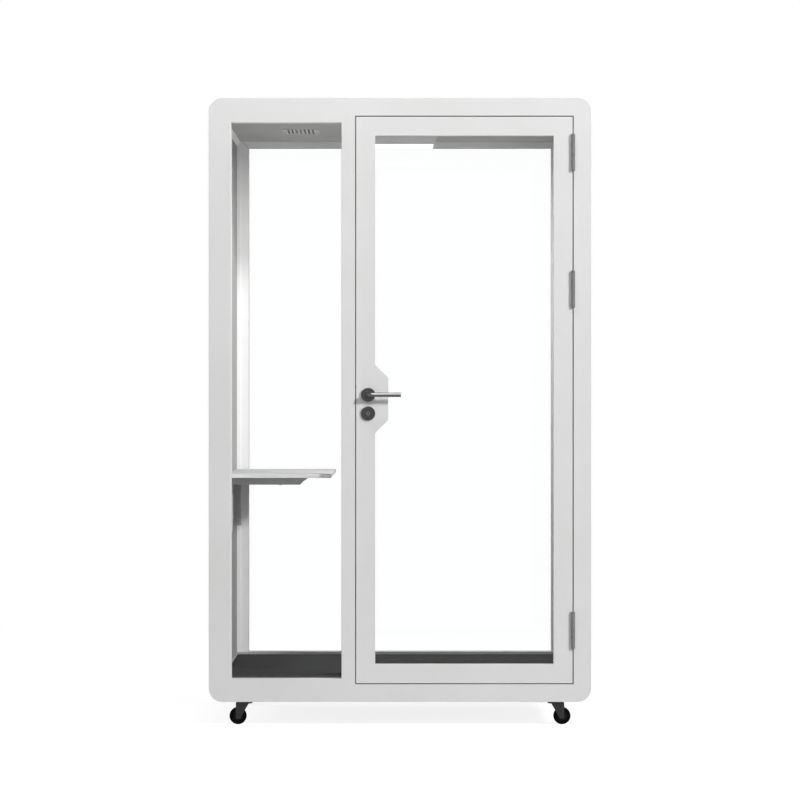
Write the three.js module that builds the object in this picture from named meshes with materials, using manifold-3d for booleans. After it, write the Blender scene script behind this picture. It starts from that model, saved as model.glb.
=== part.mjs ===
// Acoustic office pod on casters: a glazed front with a hinged door, a glazed back, solid side walls,
// a wall desk, a ceiling light and a ventilation fan.
// Millimetres, +Z up. The front faces -Y. The origin is on the ground, under the middle of the overall box.
import * as THREE from "three";
import { mergeVertices } from "three/addons/utils/BufferGeometryUtils.js";
import Module from "manifold-3d";

const wasm = await Module();
wasm.setup();

// Overall sizes
const podWidth = 1400;
const podDepth = 1200;
const shellHeight = 2210;
const casterHeight = 90;
const cornerRadius = 50;
const clearance = 0.3;
const cutThrough = 1;
const arcSteps = 4;

// Wall, roof and floor build-up
const wallThickness = 56;
const roofThickness = 85;
const skinThickness = 2;
const skinReturn = 10;
const seamGap = 2;
const liningThickness = 12;
const ceilingThickness = 12;
const coveWidth = 14;
const coveHeight = 19;
const chassisInset = 55;
const chassisTube = 50;
const chassisHeight = 60;
const deckThickness = 30;
const carpetThickness = 8;

// Front frame
const doorJamb = 65;
const windowStile = 82;
const windowTopRail = 90;
const windowSill = 84;
const windowWidth = 404;
const mullionWidth = 50;
const stopWidth = 16;
const stopThickness = 22;

// Rear frame
const rearFrameDepth = 60;
const rearStile = 102;
const rearTopRail = 109;
const rearSill = 111;
const beadWidth = 31;
const beadStep = 2;

// Glazing
const glassThickness = 10;
const glassBite = 10;
const gasketWall = 2;
const gasketSight = 0.6;

// Door leaf
const doorThickness = 45;
const doorGap = 3.5;
const doorStile = 69;
const sealThickness = 2.4;
const sealWidth = 9;
const lockPlateReach = 48;
const lockPlateHeight = 154;
const lockPlateDrop = 15;

// Handle set and mortise lock
const handleHeight = 1023;
const backset = 44;
const cylinderSpacing = 68;
const leverRadius = 8;
const leverLength = 120;
const leverStandoff = 50;
const leverBend = 16;
const leverSteps = 24;
const roseRadius = 26;
const roseThickness = 8;
const roseEdge = 1.5;
const spindleSize = 8;
const socketDepth = 18;
const caseDepth = 78;
const caseThickness = 17;
const caseWall = 2;
const caseAbove = 48;
const caseBelow = 40;
const faceplateThickness = 3;
const faceplateOverlap = 20;
const followerRadius = 9;
const followerArm = 20;
const followerArmWidth = 8;
const latchTravel = 12;
const latchHeight = 16;
const latchRise = 30;
const latchLength = 20;
const latchPlay = 1.5;
const tailHeight = 6;
const hookWidth = 6;
const hookReach = 12;
const boltThrow = 20;
const boltHeight = 24;
const boltRise = 33;
const boltTail = 6;
const boltPlay = 1;
const cylinderRadius = 8.5;
const cylinderFin = 24.5;
const cylinderFinWidth = 10;
const cylinderProud = 1.5;
const keyPlugRadius = 6.5;
const keyPlugGroove = 1.2;
const keySlotWidth = 2;
const keySlotHeight = 8;
const keySlotDepth = 14;
const camShaftRadius = 4;
const camWidth = 6;
const camThickness = 5;
const turnRadius = 14;
const turnThickness = 7;
const turnReach = 22;
const strikeThickness = 2;
const strikeWidth = 26;
const strikeOverlap = 22;
const strikePlay = 1;

// Hinges
const hingeHeight = 133;
const hingeRadius = 7;
const hingePinRadius = 4;
const hingeProud = 7.5;
const hingeLeafThickness = 2.5;
const hingeLeafWidth = 34;
const hingeCap = 3;
const hingeKnuckle = 45;
const hingeSteps = 20;
const topHingeDrop = 131.5;
const middleHingeDrop = 631.5;
const bottomHingeRise = 194.5;

// Desk
const deskHeight = 732;
const deskDepth = 390;
const deskThickness = 15;
const deskEndGap = 10;
const deskCorner = 8;
const bracketLength = 300;
const bracketHeight = 27;
const bracketWidth = 30;
const bracketLegHeight = 160;
const bracketLegThickness = 10;
const bracketInset = 130;

// Ceiling light
const lightWidth = 260;
const lightLength = 286;
const lightDrop = 53;
const lightFlare = 15;
const lightWall = 3;
const lightLip = 1.5;
const lightLipHeight = 2;
const diffuserThickness = 4;

// Ventilation
const ventX = -376;
const ventDepth = 530;
const grilleWidth = 140;
const grilleLength = 230;
const grilleThickness = 2.5;
const slotCount = 7;
const slotPitch = 15.5;
const slotWidth = 7;
const slotLength = 196;
const ductWidth = 112;
const ductLength = 204;
const ductMargin = 16;
const fanSize = 119;
const fanHeight = 32;
const fanBore = 55;
const fanTipGap = 2;
const fanHub = 20;
const fanMountHeight = 6;
const fanStrutWidth = 7;
const fanPinRadius = 3;
const bladeCount = 7;
const bladeThickness = 2;
const bladeChord = 24;
const bladePitch = 0.7;

// Casters
const casterInsetX = 126;
const casterInsetY = 112;
const casterTrail = 23;
const casterPlateSize = 60;
const casterPlateThickness = 4;
const wheelDiameter = 63;
const wheelWidth = 22;
const wheelSteps = 28;
const hubRadius = 20;
const hubRecess = 3;
const axleRadius = 4;
const axleHeadRadius = 7;
const axleHeadHeight = 3;
const forkPlate = 3;
const forkGap = 1.5;
const forkHeadRadius = 29;
const forkHeadHeight = 9;
const forkHeadEdge = 3;
const forkLegWidth = 16;
const forkLegReach = 41;
const forkLegDrop = 10;
const kingpinRadius = 6;
const kingpinHeadRadius = 9;
const kingpinHeadHeight = 3;

// Places worked out from the sizes above
const halfWidth = podWidth / 2;
const shellBottom = casterHeight;
const shellTop = casterHeight + shellHeight;
const frontFrameDepth = doorThickness + sealThickness + 2 * clearance + stopThickness;
const frontInside = frontFrameDepth + clearance;
const rearFrameFront = podDepth - rearFrameDepth;
const rearInside = rearFrameFront - clearance;
const roomHalf = halfWidth - wallThickness;
const liningBack = roomHalf + liningThickness;
const ceilingZ = shellTop - roofThickness;
const ceilingTop = ceilingZ + ceilingThickness;
const chassisBottom = shellBottom + skinThickness + clearance;
const chassisTop = chassisBottom + chassisHeight;
const deckBottom = chassisTop + clearance;
const deckTop = deckBottom + deckThickness;
const floorZ = deckTop + clearance + carpetThickness;

const window = {
  left: -halfWidth + windowStile,
  right: -halfWidth + windowStile + windowWidth,
  bottom: shellBottom + windowSill,
  top: shellTop - windowTopRail,
};
const doorway = {
  left: window.right + mullionWidth,
  right: halfWidth - doorJamb,
  bottom: shellBottom + doorJamb,
  top: shellTop - doorJamb,
};
const leaf = {
  left: doorway.left + doorGap,
  right: doorway.right - doorGap,
  bottom: doorway.bottom + doorGap,
  top: doorway.top - doorGap,
};
const rearLight = {
  left: -halfWidth + rearStile,
  right: halfWidth - rearStile,
  bottom: shellBottom + rearSill,
  top: shellTop - rearTopRail,
};

const grooveWidth = glassThickness + 2 * gasketWall + 4 * clearance;
const grooveDepth = glassBite + gasketWall + 2 * clearance;
const windowGlassY = doorThickness / 2;
const rearGlassY = podDepth - rearFrameDepth / 2;

const spindleX = leaf.left + backset;
const spindleZ = floorZ + handleHeight;
const cylinderZ = spindleZ - cylinderSpacing;
const lockY = doorThickness / 2;
const handleReach = leverStandoff + leverRadius;
const frontFace = (handleReach - podDepth) / 2;

// Materials
function paint(color, roughness, metalness = 0) {
  return new THREE.MeshStandardMaterial({ color, roughness, metalness });
}

const whiteSteel = paint(0xe6e6e6, 0.45);
const greySteel = paint(0xb0afad, 0.6);
const clearGlass = paint(0xdfe9ea, 0.05);
const blackRubber = paint(0x161616, 0.8);
const paleRubber = paint(0xd9d9d6, 0.7);
const greyFelt = paint(0xb6b4b3, 0.95);
const mineralWool = paint(0x8a8378, 1);
const darkCarpet = paint(0x3a3a3c, 1);
const plywood = paint(0xb89a6c, 0.7);
const blackSteel = paint(0x3c3d3f, 0.45, 0.6);
const gunmetal = paint(0x3b3b3d, 0.35, 0.8);
const satinSteel = paint(0xb9babc, 0.35, 0.9);
const whiteLaminate = paint(0xeeeeee, 0.5);
const opal = paint(0xffffff, 0.4);
const blackPlastic = paint(0x1d1d1f, 0.6);

// Solids: a closed geometry becomes one that can be joined and cut
function solid(geometry) {
  const bare = geometry.clone();
  bare.deleteAttribute("normal");
  bare.deleteAttribute("uv");
  const merged = mergeVertices(bare);
  const vertProperties = new Float32Array(merged.attributes.position.array);
  const triVerts = new Uint32Array(merged.index.array);
  return new wasm.Manifold(new wasm.Mesh({ numProp: 3, vertProperties, triVerts }));
}

function widened([from, to], extra) {
  return [from - extra, to + extra];
}

function joined(first, ...others) {
  return others.reduce((whole, other) => whole.add(other), first);
}

function cut(first, ...tools) {
  return tools.reduce((whole, tool) => whole.subtract(tool), first);
}

function piece(name, body, material) {
  const { vertProperties, triVerts } = body.getMesh();
  const geometry = new THREE.BufferGeometry();
  geometry.setAttribute("position", new THREE.BufferAttribute(vertProperties, 3));
  geometry.setIndex(new THREE.BufferAttribute(triVerts, 1));
  geometry.computeVertexNormals();
  const mesh = new THREE.Mesh(geometry, material);
  mesh.name = name;
  return mesh;
}

// A block between two limits along each axis
function block([x0, x1], [y0, y1], [z0, z1]) {
  const geometry = new THREE.BoxGeometry(x1 - x0, y1 - y0, z1 - z0);
  return solid(geometry.translate((x0 + x1) / 2, (y0 + y1) / 2, (z0 + z1) / 2));
}

// An upright outline, drawn across the front, made into a plate from one depth to another
function upright(shape, [y0, y1], steps = arcSteps) {
  const settings = { depth: y1 - y0, bevelEnabled: false, curveSegments: steps };
  const geometry = new THREE.ExtrudeGeometry(shape, settings);
  return solid(geometry.rotateX(Math.PI / 2).translate(0, y1, 0));
}

// A plan outline made into a plate from one height to another
function level(shape, [z0, z1], steps = arcSteps) {
  const settings = { depth: z1 - z0, bevelEnabled: false, curveSegments: steps };
  const geometry = new THREE.ExtrudeGeometry(shape, settings);
  return solid(geometry.translate(0, 0, z0));
}

// A round bar along the depth axis, and one along the height axis
function barAlongY(radius, [y0, y1], x, z, steps = 20) {
  const geometry = new THREE.CylinderGeometry(radius, radius, y1 - y0, steps);
  return solid(geometry.translate(x, (y0 + y1) / 2, z));
}

function barAlongZ(radius, [z0, z1], x, y, steps = 20) {
  const geometry = new THREE.CylinderGeometry(radius, radius, z1 - z0, steps).rotateX(Math.PI / 2);
  return solid(geometry.translate(x, y, (z0 + z1) / 2));
}

// A turned piece around the depth axis, from a profile of [radius, depth] points
function turned(profile, steps) {
  const points = profile.map(([radius, y]) => new THREE.Vector2(radius, y));
  return solid(new THREE.LatheGeometry(points, steps, Math.PI / steps));
}

function polygon(points) {
  return new THREE.Shape(points.map(([a, b]) => new THREE.Vector2(a, b)));
}

function rectangle(frame, spread = 0) {
  const { left, right, bottom, top } = frame;
  return polygon([
    [left - spread, bottom - spread],
    [right + spread, bottom - spread],
    [right + spread, top + spread],
    [left - spread, top + spread],
  ]);
}

function roundedRectangle({ left, right, bottom, top }, radius) {
  const shape = new THREE.Shape();
  shape.absarc(right - radius, bottom + radius, radius, -Math.PI / 2, 0);
  shape.absarc(right - radius, top - radius, radius, 0, Math.PI / 2);
  shape.absarc(left + radius, top - radius, radius, Math.PI / 2, Math.PI);
  shape.absarc(left + radius, bottom + radius, radius, Math.PI, Math.PI * 1.5);
  return shape;
}

const shellOutline = { left: -halfWidth, right: halfWidth, bottom: shellBottom, top: shellTop };

// Glazing: a groove in the frame, a rubber channel in the groove and a pane in the channel.
// The opening is a function that gives its own outline, spread outwards by a distance.
function glazingGroove(opening, middle) {
  return upright(opening(grooveDepth), [middle - grooveWidth / 2, middle + grooveWidth / 2]);
}

function glazingGasket(opening, middle) {
  const half = grooveWidth / 2 - clearance;
  const slot = glassThickness / 2 + clearance;
  const ring = upright(opening(grooveDepth - clearance), [middle - half, middle + half]);
  const sight = upright(opening(-gasketSight), [middle - half - cutThrough, middle + half + cutThrough]);
  const seat = upright(opening(glassBite + clearance), [middle - slot, middle + slot]);
  return cut(ring, sight, seat);
}

function glazingPane(opening, middle) {
  return upright(opening(glassBite), [middle - glassThickness / 2, middle + glassThickness / 2]);
}

const windowOpening = (spread) => rectangle(window, spread);
const rearOpening = (spread) => rectangle(rearLight, spread);

// The door's opening has a notch for the lock, with sloping ends
function doorOpening(spread) {
  const left = leaf.left + doorStile - spread;
  const right = leaf.right - doorStile + spread;
  const bottom = leaf.bottom + doorStile - spread;
  const top = leaf.top - doorStile + spread;
  const middle = spindleZ - lockPlateDrop;
  const slopeShift = spread * (Math.SQRT2 - 1);
  const near = lockPlateHeight / 2 - slopeShift;
  const far = near + lockPlateReach;
  return polygon([
    [left, bottom],
    [right, bottom],
    [right, top],
    [left, top],
    [left, middle + far],
    [left + lockPlateReach, middle + near],
    [left + lockPlateReach, middle - near],
    [left, middle - far],
  ]);
}

// Hinges: the pin is fixed in the frame's leaf, and the door's knuckle turns on it
const hingeX = doorway.right - doorGap / 2;
const hingeY = -hingeProud;
const hingeCentres = {
  top: leaf.top - topHingeDrop,
  middle: leaf.top - middleHingeDrop,
  bottom: leaf.bottom + bottomHingeRise,
};
const hingeNames = Object.keys(hingeCentres);

function hingeRecess(name, [x0, x1]) {
  const half = hingeHeight / 2 + clearance;
  const z = hingeCentres[name];
  return block([x0, x1], [-cutThrough, hingeLeafWidth + clearance], [z - half, z + half]);
}

function hingeFrameLeaf(name) {
  const z = hingeCentres[name];
  const half = hingeHeight / 2;
  const middle = hingeKnuckle / 2 + clearance;
  const leafSpan = [doorway.right, doorway.right + hingeLeafThickness];
  const plate = block(leafSpan, [clearance, hingeLeafWidth], [z - half, z + half]);
  const upperNeck = block(leafSpan, [hingeY, hingeLeafWidth], [z + middle, z + half]);
  const lowerNeck = block(leafSpan, [hingeY, hingeLeafWidth], [z - half, z - middle]);
  const upperKnuckle = barAlongZ(hingeRadius, [z + middle, z + half], hingeX, hingeY, hingeSteps);
  const lowerKnuckle = barAlongZ(hingeRadius, [z - half, z - middle], hingeX, hingeY, hingeSteps);
  const pinSpan = widened([z - half, z + half], hingeCap);
  const pin = barAlongZ(hingePinRadius, pinSpan, hingeX, hingeY, hingeSteps);
  return joined(plate, upperNeck, lowerNeck, upperKnuckle, lowerKnuckle, pin);
}

function hingeDoorLeaf(name) {
  const z = hingeCentres[name];
  const half = hingeHeight / 2;
  const knuckleSpan = [z - hingeKnuckle / 2, z + hingeKnuckle / 2];
  const leafSpan = [leaf.right - hingeLeafThickness, leaf.right];
  const plate = block(leafSpan, [clearance, hingeLeafWidth], [z - half, z + half]);
  const neck = block(leafSpan, [hingeY, hingeLeafWidth], knuckleSpan);
  const knuckle = barAlongZ(hingeRadius, knuckleSpan, hingeX, hingeY, hingeSteps);
  const boreSpan = [knuckleSpan[0] - cutThrough, knuckleSpan[1] + cutThrough];
  const bore = barAlongZ(hingePinRadius + clearance, boreSpan, hingeX, hingeY, hingeSteps);
  return cut(joined(plate, neck, knuckle), bore);
}

// Mortise lock. Its pieces share these limits across the door and along it.
const caseLeft = leaf.left;
const caseRight = leaf.left + caseDepth;
const caseBottom = cylinderZ - caseBelow;
const caseTop = spindleZ + caseAbove;
const caseSpan = [lockY - caseThickness / 2, lockY + caseThickness / 2];
const workSpan = [caseSpan[0] + caseWall, caseSpan[1] - caseWall];
const boltSpan = [workSpan[0] + clearance, workSpan[1] - clearance];
const plateSpan = [lockY - strikeWidth / 2, lockY + strikeWidth / 2];
const latchZ = spindleZ + latchRise;
const boltZ = cylinderZ + boltRise;
const hookLeft = spindleX + followerArmWidth / 2 + latchPlay;
const camReach = boltThrow / Math.SQRT2;
const camNotchX = spindleX + boltThrow / 2;
const boltLegHalf = camWidth + boltTail;
const boltRight = camNotchX + boltLegHalf;
const boltLegBottom = cylinderZ + cylinderRadius + boltPlay;
const latchHole = { bottom: latchZ - latchHeight / 2, top: latchZ + latchHeight / 2 };
const boltHole = { bottom: boltZ - boltHeight / 2, top: boltZ + boltHeight / 2 };

const heights = (hole, extra) => [hole.bottom - extra, hole.top + extra];

// The cylinder's outline: a round body with a flat fin below it
function cylinderProfile(spread, [y0, y1]) {
  const finHalf = cylinderFinWidth / 2 + spread;
  const round = barAlongY(cylinderRadius + spread, [y0, y1], spindleX, cylinderZ);
  const finHeights = [cylinderZ - cylinderFin - spread, cylinderZ];
  const fin = block([spindleX - finHalf, spindleX + finHalf], [y0, y1], finHeights);
  return round.add(fin);
}

function lockPocket() {
  const body = block(
    [caseLeft - cutThrough, caseRight + clearance],
    widened(caseSpan, clearance),
    [caseBottom - clearance, caseTop + clearance],
  );
  const facing = block(
    [caseLeft - cutThrough, caseLeft + faceplateThickness + clearance],
    widened(plateSpan, clearance),
    [caseBottom - faceplateOverlap - clearance, caseTop + faceplateOverlap + clearance],
  );
  const through = [-cutThrough, doorThickness + cutThrough];
  const spindleWay = barAlongY(followerRadius + clearance, through, spindleX, spindleZ);
  return joined(body, facing, spindleWay, cylinderProfile(clearance, through));
}

function lockCase() {
  const body = block([caseLeft, caseRight], caseSpan, [caseBottom, caseTop]);
  const faceHeights = [caseBottom - faceplateOverlap, caseTop + faceplateOverlap];
  const facing = block([caseLeft, caseLeft + faceplateThickness], plateSpan, faceHeights);
  const inside = block(
    [caseLeft + faceplateThickness, caseRight - caseWall],
    workSpan,
    [caseBottom + caseWall, caseTop - caseWall],
  );
  const mouth = [caseLeft - cutThrough, caseLeft + faceplateThickness + cutThrough];
  const latchMouth = block(mouth, widened(boltSpan, clearance), heights(latchHole, clearance));
  const boltMouth = block(mouth, widened(boltSpan, clearance), heights(boltHole, clearance));
  const through = widened(caseSpan, cutThrough);
  const followerWay = barAlongY(followerRadius, through, spindleX, spindleZ);
  const cylinderWay = cylinderProfile(clearance, through);
  return cut(joined(body, facing), inside, latchMouth, boltMouth, followerWay, cylinderWay);
}

// The latch has a sloping nose, and a tail that hooks behind the follower's arm
function latchBolt() {
  const nose = leaf.left - latchTravel;
  const shank = leaf.left + latchLength;
  const [y0, y1] = boltSpan;
  const plan = polygon([
    [nose, y0],
    [shank, y0],
    [shank, y1],
    [nose + latchTravel, y1],
    [nose, y0 + strikePlay],
  ]);
  const head = level(plan, heights(latchHole, 0));
  const tailSpan = [latchZ - tailHeight / 2, latchZ + tailHeight / 2];
  const tail = block([shank - cutThrough, hookLeft + hookWidth], boltSpan, tailSpan);
  const hook = block([hookLeft, hookLeft + hookWidth], boltSpan, [spindleZ + hookReach, latchZ]);
  return joined(head, tail, hook);
}

// The dead bolt has a leg with a notch that the cam's arm works in
function deadBolt() {
  const bar = block([leaf.left, boltRight], boltSpan, heights(boltHole, 0));
  const legSpan = [lockY - camThickness / 2, lockY + camThickness / 2];
  const leg = block([camNotchX - boltLegHalf, boltRight], legSpan, [boltLegBottom, boltZ]);
  const notch = block(
    [camNotchX - camWidth - boltPlay, camNotchX + camWidth + boltPlay],
    widened(legSpan, cutThrough),
    [boltLegBottom - cutThrough, cylinderZ + camReach + camWidth],
  );
  return cut(joined(bar, leg), notch);
}

function keyCylinder() {
  const proud = roseThickness + cylinderProud;
  const body = cylinderProfile(0, [-proud, doorThickness + proud]);
  const camHalf = camThickness / 2 + clearance;
  const camReachHalf = cylinderRadius + cutThrough;
  const camSlot = block(
    [spindleX - camReachHalf, spindleX + camReachHalf],
    [lockY - camHalf, lockY + camHalf],
    [cylinderZ - cylinderRadius, cylinderZ + camReachHalf],
  );
  const shaftWay = barAlongY(
    camShaftRadius + clearance,
    [lockY, doorThickness + proud + cutThrough],
    spindleX,
    cylinderZ,
  );
  const grooveSpan = [-proud - cutThrough, -proud + keyPlugGroove];
  const plugGroove = cut(
    barAlongY(keyPlugRadius + keyPlugGroove / 2, grooveSpan, spindleX, cylinderZ),
    barAlongY(keyPlugRadius - keyPlugGroove / 2, grooveSpan, spindleX, cylinderZ),
  );
  const keySlot = block(
    [spindleX - keySlotWidth / 2, spindleX + keySlotWidth / 2],
    [-proud - cutThrough, -proud + keySlotDepth],
    [cylinderZ - keySlotHeight / 2, cylinderZ + keySlotHeight / 2],
  );
  return cut(body, camSlot, shaftWay, plugGroove, keySlot);
}

// The thumbturn's shaft ends in the cam, whose arm leans towards the hinges while the bolt is drawn back
function thumbTurn() {
  const proud = doorThickness + roseThickness + cylinderProud + clearance;
  const shaftSpan = [lockY - camThickness / 2, proud + cutThrough];
  const shaft = barAlongY(camShaftRadius, shaftSpan, spindleX, cylinderZ);
  const armGeometry = new THREE.BoxGeometry(camWidth, camThickness, camReach);
  armGeometry.translate(0, 0, camReach / 2).rotateY(Math.PI / 4);
  const arm = solid(armGeometry.translate(spindleX, lockY, cylinderZ));
  const collar = barAlongY(cylinderRadius, [proud, proud + turnThickness], spindleX, cylinderZ);
  const wing = block(
    [spindleX - turnThickness / 2, spindleX + turnThickness / 2],
    [proud + clearance, proud + turnReach],
    [cylinderZ - turnRadius, cylinderZ + turnRadius],
  );
  return joined(shaft, arm, collar, wing);
}

// Roses and escutcheons sit on either face of the door
function roseProfile(bore) {
  return [
    [bore, 0],
    [bore, -roseThickness],
    [roseRadius - roseEdge, -roseThickness],
    [roseRadius, -roseThickness + roseEdge],
    [roseRadius, 0],
    [bore, 0],
  ];
}

function rose(outside) {
  const ring = turned(roseProfile(leverRadius + clearance), 32);
  const facing = outside ? ring : ring.rotate([0, 0, 180]);
  const y = outside ? -clearance : doorThickness + clearance;
  return facing.translate([spindleX, y, spindleZ]);
}

function escutcheon(outside) {
  const disc = turned([[0, 0], [0, -roseThickness], ...roseProfile(0).slice(2)], 32);
  const facing = outside ? disc : disc.rotate([0, 0, 180]);
  const y = outside ? -clearance : doorThickness + clearance;
  const placed = facing.translate([spindleX, y, cylinderZ]);
  const reach = roseThickness + cutThrough;
  const span = outside ? [-reach, cutThrough] : [doorThickness - cutThrough, doorThickness + reach];
  return cut(placed, cylinderProfile(clearance, span));
}

// A lever is a round bar that comes out of its rose and bends along the door
function leverBar(outside) {
  const away = outside ? -1 : 1;
  const face = outside ? 0 : doorThickness;
  const root = new THREE.Vector3(0, face + away * clearance, 0);
  const bendStart = new THREE.Vector3(0, face + away * (leverStandoff - leverBend), 0);
  const corner = new THREE.Vector3(0, face + away * leverStandoff, 0);
  const bendEnd = new THREE.Vector3(leverBend, corner.y, 0);
  const tip = new THREE.Vector3(leverLength, corner.y, 0);
  const path = new THREE.CurvePath();
  path.add(new THREE.LineCurve3(root, bendStart));
  path.add(new THREE.QuadraticBezierCurve3(bendStart, corner, bendEnd));
  path.add(new THREE.LineCurve3(bendEnd, tip));
  const section = new THREE.Shape().absarc(0, 0, leverRadius, 0, Math.PI * 2);
  const settings = { steps: leverSteps, curveSegments: 8, extrudePath: path };
  const geometry = new THREE.ExtrudeGeometry(section, settings);
  return solid(geometry.translate(spindleX, 0, spindleZ));
}

function spindleBar(half, span) {
  return block([spindleX - half, spindleX + half], span, [spindleZ - half, spindleZ + half]);
}

// The outer lever carries the square spindle and the follower that draws the latch back
function outerLever() {
  const reach = doorThickness + socketDepth;
  const spindle = spindleBar(spindleSize / 2, [-socketDepth, reach]);
  const follower = barAlongY(followerRadius - clearance, boltSpan, spindleX, spindleZ);
  const armHalf = followerArmWidth / 2;
  const arm = block([spindleX - armHalf, spindleX + armHalf], boltSpan, [spindleZ, spindleZ + followerArm]);
  return joined(leverBar(true), spindle, follower, arm);
}

function innerLever() {
  const span = [doorThickness - cutThrough, doorThickness + socketDepth + clearance];
  const socket = spindleBar(spindleSize / 2 + clearance, span);
  return cut(leverBar(false), socket);
}

// Front frame: window opening with its groove, doorway with a stop behind the leaf, lock and hinge recesses
function frontFrame() {
  const through = [-cutThrough, frontFrameDepth + cutThrough];
  const plate = upright(roundedRectangle(shellOutline, cornerRadius), [0, frontFrameDepth]);
  const doorwayCut = upright(rectangle(doorway), [-cutThrough, frontFrameDepth - stopThickness]);
  const passage = upright(rectangle(doorway, -stopWidth), through);
  const strikeRecess = block(
    [doorway.left - strikeThickness - clearance, doorway.left + cutThrough],
    widened(plateSpan, clearance),
    [boltHole.bottom - strikeOverlap - clearance, latchHole.top + strikeOverlap + clearance],
  );
  const pocketX = [doorway.left - boltThrow - clearance, doorway.left + cutThrough];
  const latchPocket = block(pocketX, widened(boltSpan, strikePlay), heights(latchHole, strikePlay));
  const boltPocket = block(pocketX, widened(boltSpan, strikePlay), heights(boltHole, strikePlay));
  const recessX = [doorway.right - cutThrough, doorway.right + hingeLeafThickness + clearance];
  const recesses = hingeNames.map((name) => hingeRecess(name, recessX));
  return cut(
    plate,
    upright(windowOpening(0), through),
    glazingGroove(windowOpening, windowGlassY),
    doorwayCut,
    passage,
    strikeRecess,
    latchPocket,
    boltPocket,
    ...recesses,
  );
}

function strikePlate() {
  const span = [doorway.left - strikeThickness, doorway.left];
  const plate = block(span, plateSpan, [boltHole.bottom - strikeOverlap, latchHole.top + strikeOverlap]);
  const holeX = widened(span, cutThrough);
  const latchCut = block(holeX, widened(boltSpan, strikePlay), heights(latchHole, strikePlay));
  const boltCut = block(holeX, widened(boltSpan, strikePlay), heights(boltHole, strikePlay));
  return cut(plate, latchCut, boltCut);
}

// The seal lies on the stop, between it and the back of the leaf
function doorSeal() {
  const span = [doorThickness + clearance, doorThickness + clearance + sealThickness];
  const inset = (stopWidth - sealWidth) / 2;
  const outer = upright(rectangle(doorway, -inset), span);
  return cut(outer, upright(rectangle(doorway, -inset - sealWidth), widened(span, cutThrough)));
}

function doorFrame() {
  const through = [-cutThrough, doorThickness + cutThrough];
  const recessX = [leaf.right - hingeLeafThickness - clearance, leaf.right + cutThrough];
  const recesses = hingeNames.map((name) => hingeRecess(name, recessX));
  return cut(
    upright(rectangle(leaf), [0, doorThickness]),
    upright(doorOpening(0), through),
    glazingGroove(doorOpening, lockY),
    lockPocket(),
    ...recesses,
  );
}

// Rear frame, with its glazing bead set back a little round the inside of the opening
function rearFrame() {
  const plate = upright(roundedRectangle(shellOutline, cornerRadius), [rearFrameFront, podDepth]);
  const opening = upright(rearOpening(0), [rearFrameFront - cutThrough, podDepth + cutThrough]);
  const bead = upright(rearOpening(beadWidth), [rearFrameFront - cutThrough, rearFrameFront + beadStep]);
  return cut(plate, opening, bead, glazingGroove(rearOpening, rearGlassY));
}

// The roof skin and the base pan are one sheet section, bent round both corners
function wrappedSheet() {
  const inner = cornerRadius - skinThickness;
  const flat = halfWidth - cornerRadius;
  const shape = new THREE.Shape();
  shape.moveTo(halfWidth, -cornerRadius - skinReturn);
  shape.absarc(flat, -cornerRadius, cornerRadius, 0, Math.PI / 2);
  shape.absarc(-flat, -cornerRadius, cornerRadius, Math.PI / 2, Math.PI);
  shape.lineTo(-halfWidth, -cornerRadius - skinReturn);
  shape.lineTo(-halfWidth + skinThickness, -cornerRadius - skinReturn);
  shape.absarc(-flat, -cornerRadius, inner, Math.PI, Math.PI / 2, true);
  shape.absarc(flat, -cornerRadius, inner, Math.PI / 2, 0, true);
  shape.lineTo(halfWidth - skinThickness, -cornerRadius - skinReturn);
  return upright(shape, [frontInside, rearInside]);
}

// A row of slots over the duct, each along the depth of the pod
function ventSlots(span) {
  return Array.from({ length: slotCount }, (_, index) => {
    const x = ventX + (index - (slotCount - 1) / 2) * slotPitch;
    const depths = [ventDepth - slotLength / 2, ventDepth + slotLength / 2];
    return block([x - slotWidth / 2, x + slotWidth / 2], depths, span);
  });
}

function roofSkin() {
  const slotSpan = [shellTop - skinThickness - cutThrough, shellTop + cutThrough];
  return cut(wrappedSheet().translate([0, 0, shellTop]), ...ventSlots(slotSpan));
}

function basePan() {
  return wrappedSheet().rotate([0, 180, 0]).translate([0, 0, shellBottom]);
}

function outerSkin(side) {
  const reach = cornerRadius + skinReturn + seamGap;
  const faces = side < 0 ? [-halfWidth, -halfWidth + skinThickness] : [halfWidth - skinThickness, halfWidth];
  return block(faces, [frontInside, rearInside], [shellBottom + reach, shellTop - reach]);
}

function wallCore(side) {
  const near = liningBack + clearance;
  const far = halfWidth - skinThickness - clearance;
  const span = side < 0 ? [-far, -near] : [near, far];
  const reach = cornerRadius + clearance;
  return block(span, [frontInside, rearInside], [shellBottom + reach, shellTop - reach]);
}

// A wall lining ends in a small cove under the ceiling
function wallLining(side) {
  const top = ceilingZ - clearance;
  const points = [
    [liningBack, deckTop + clearance],
    [liningBack, top],
    [roomHalf - coveWidth, top],
    [roomHalf, top - coveHeight],
    [roomHalf, deckTop + clearance],
  ];
  return upright(polygon(points.map(([x, z]) => [side * x, z])), [frontInside, rearInside]);
}

function ductHole(margin, span) {
  const halfX = ductWidth / 2 + margin;
  const halfY = ductLength / 2 + margin;
  return block([ventX - halfX, ventX + halfX], [ventDepth - halfY, ventDepth + halfY], span);
}

function ceilingPanel() {
  const half = liningBack - clearance;
  const panel = block([-half, half], [frontInside, rearInside], [ceilingZ, ceilingTop]);
  return cut(panel, ductHole(0, [ceilingZ - cutThrough, ceilingTop + cutThrough]));
}

function roofCore() {
  const half = halfWidth - cornerRadius;
  const span = [ceilingTop + clearance, shellTop - skinThickness - clearance];
  const panel = block([-half, half], [frontInside, rearInside], span);
  return cut(panel, ductHole(ductMargin, widened(span, cutThrough)));
}

const chassisHalf = halfWidth - chassisInset;

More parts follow.
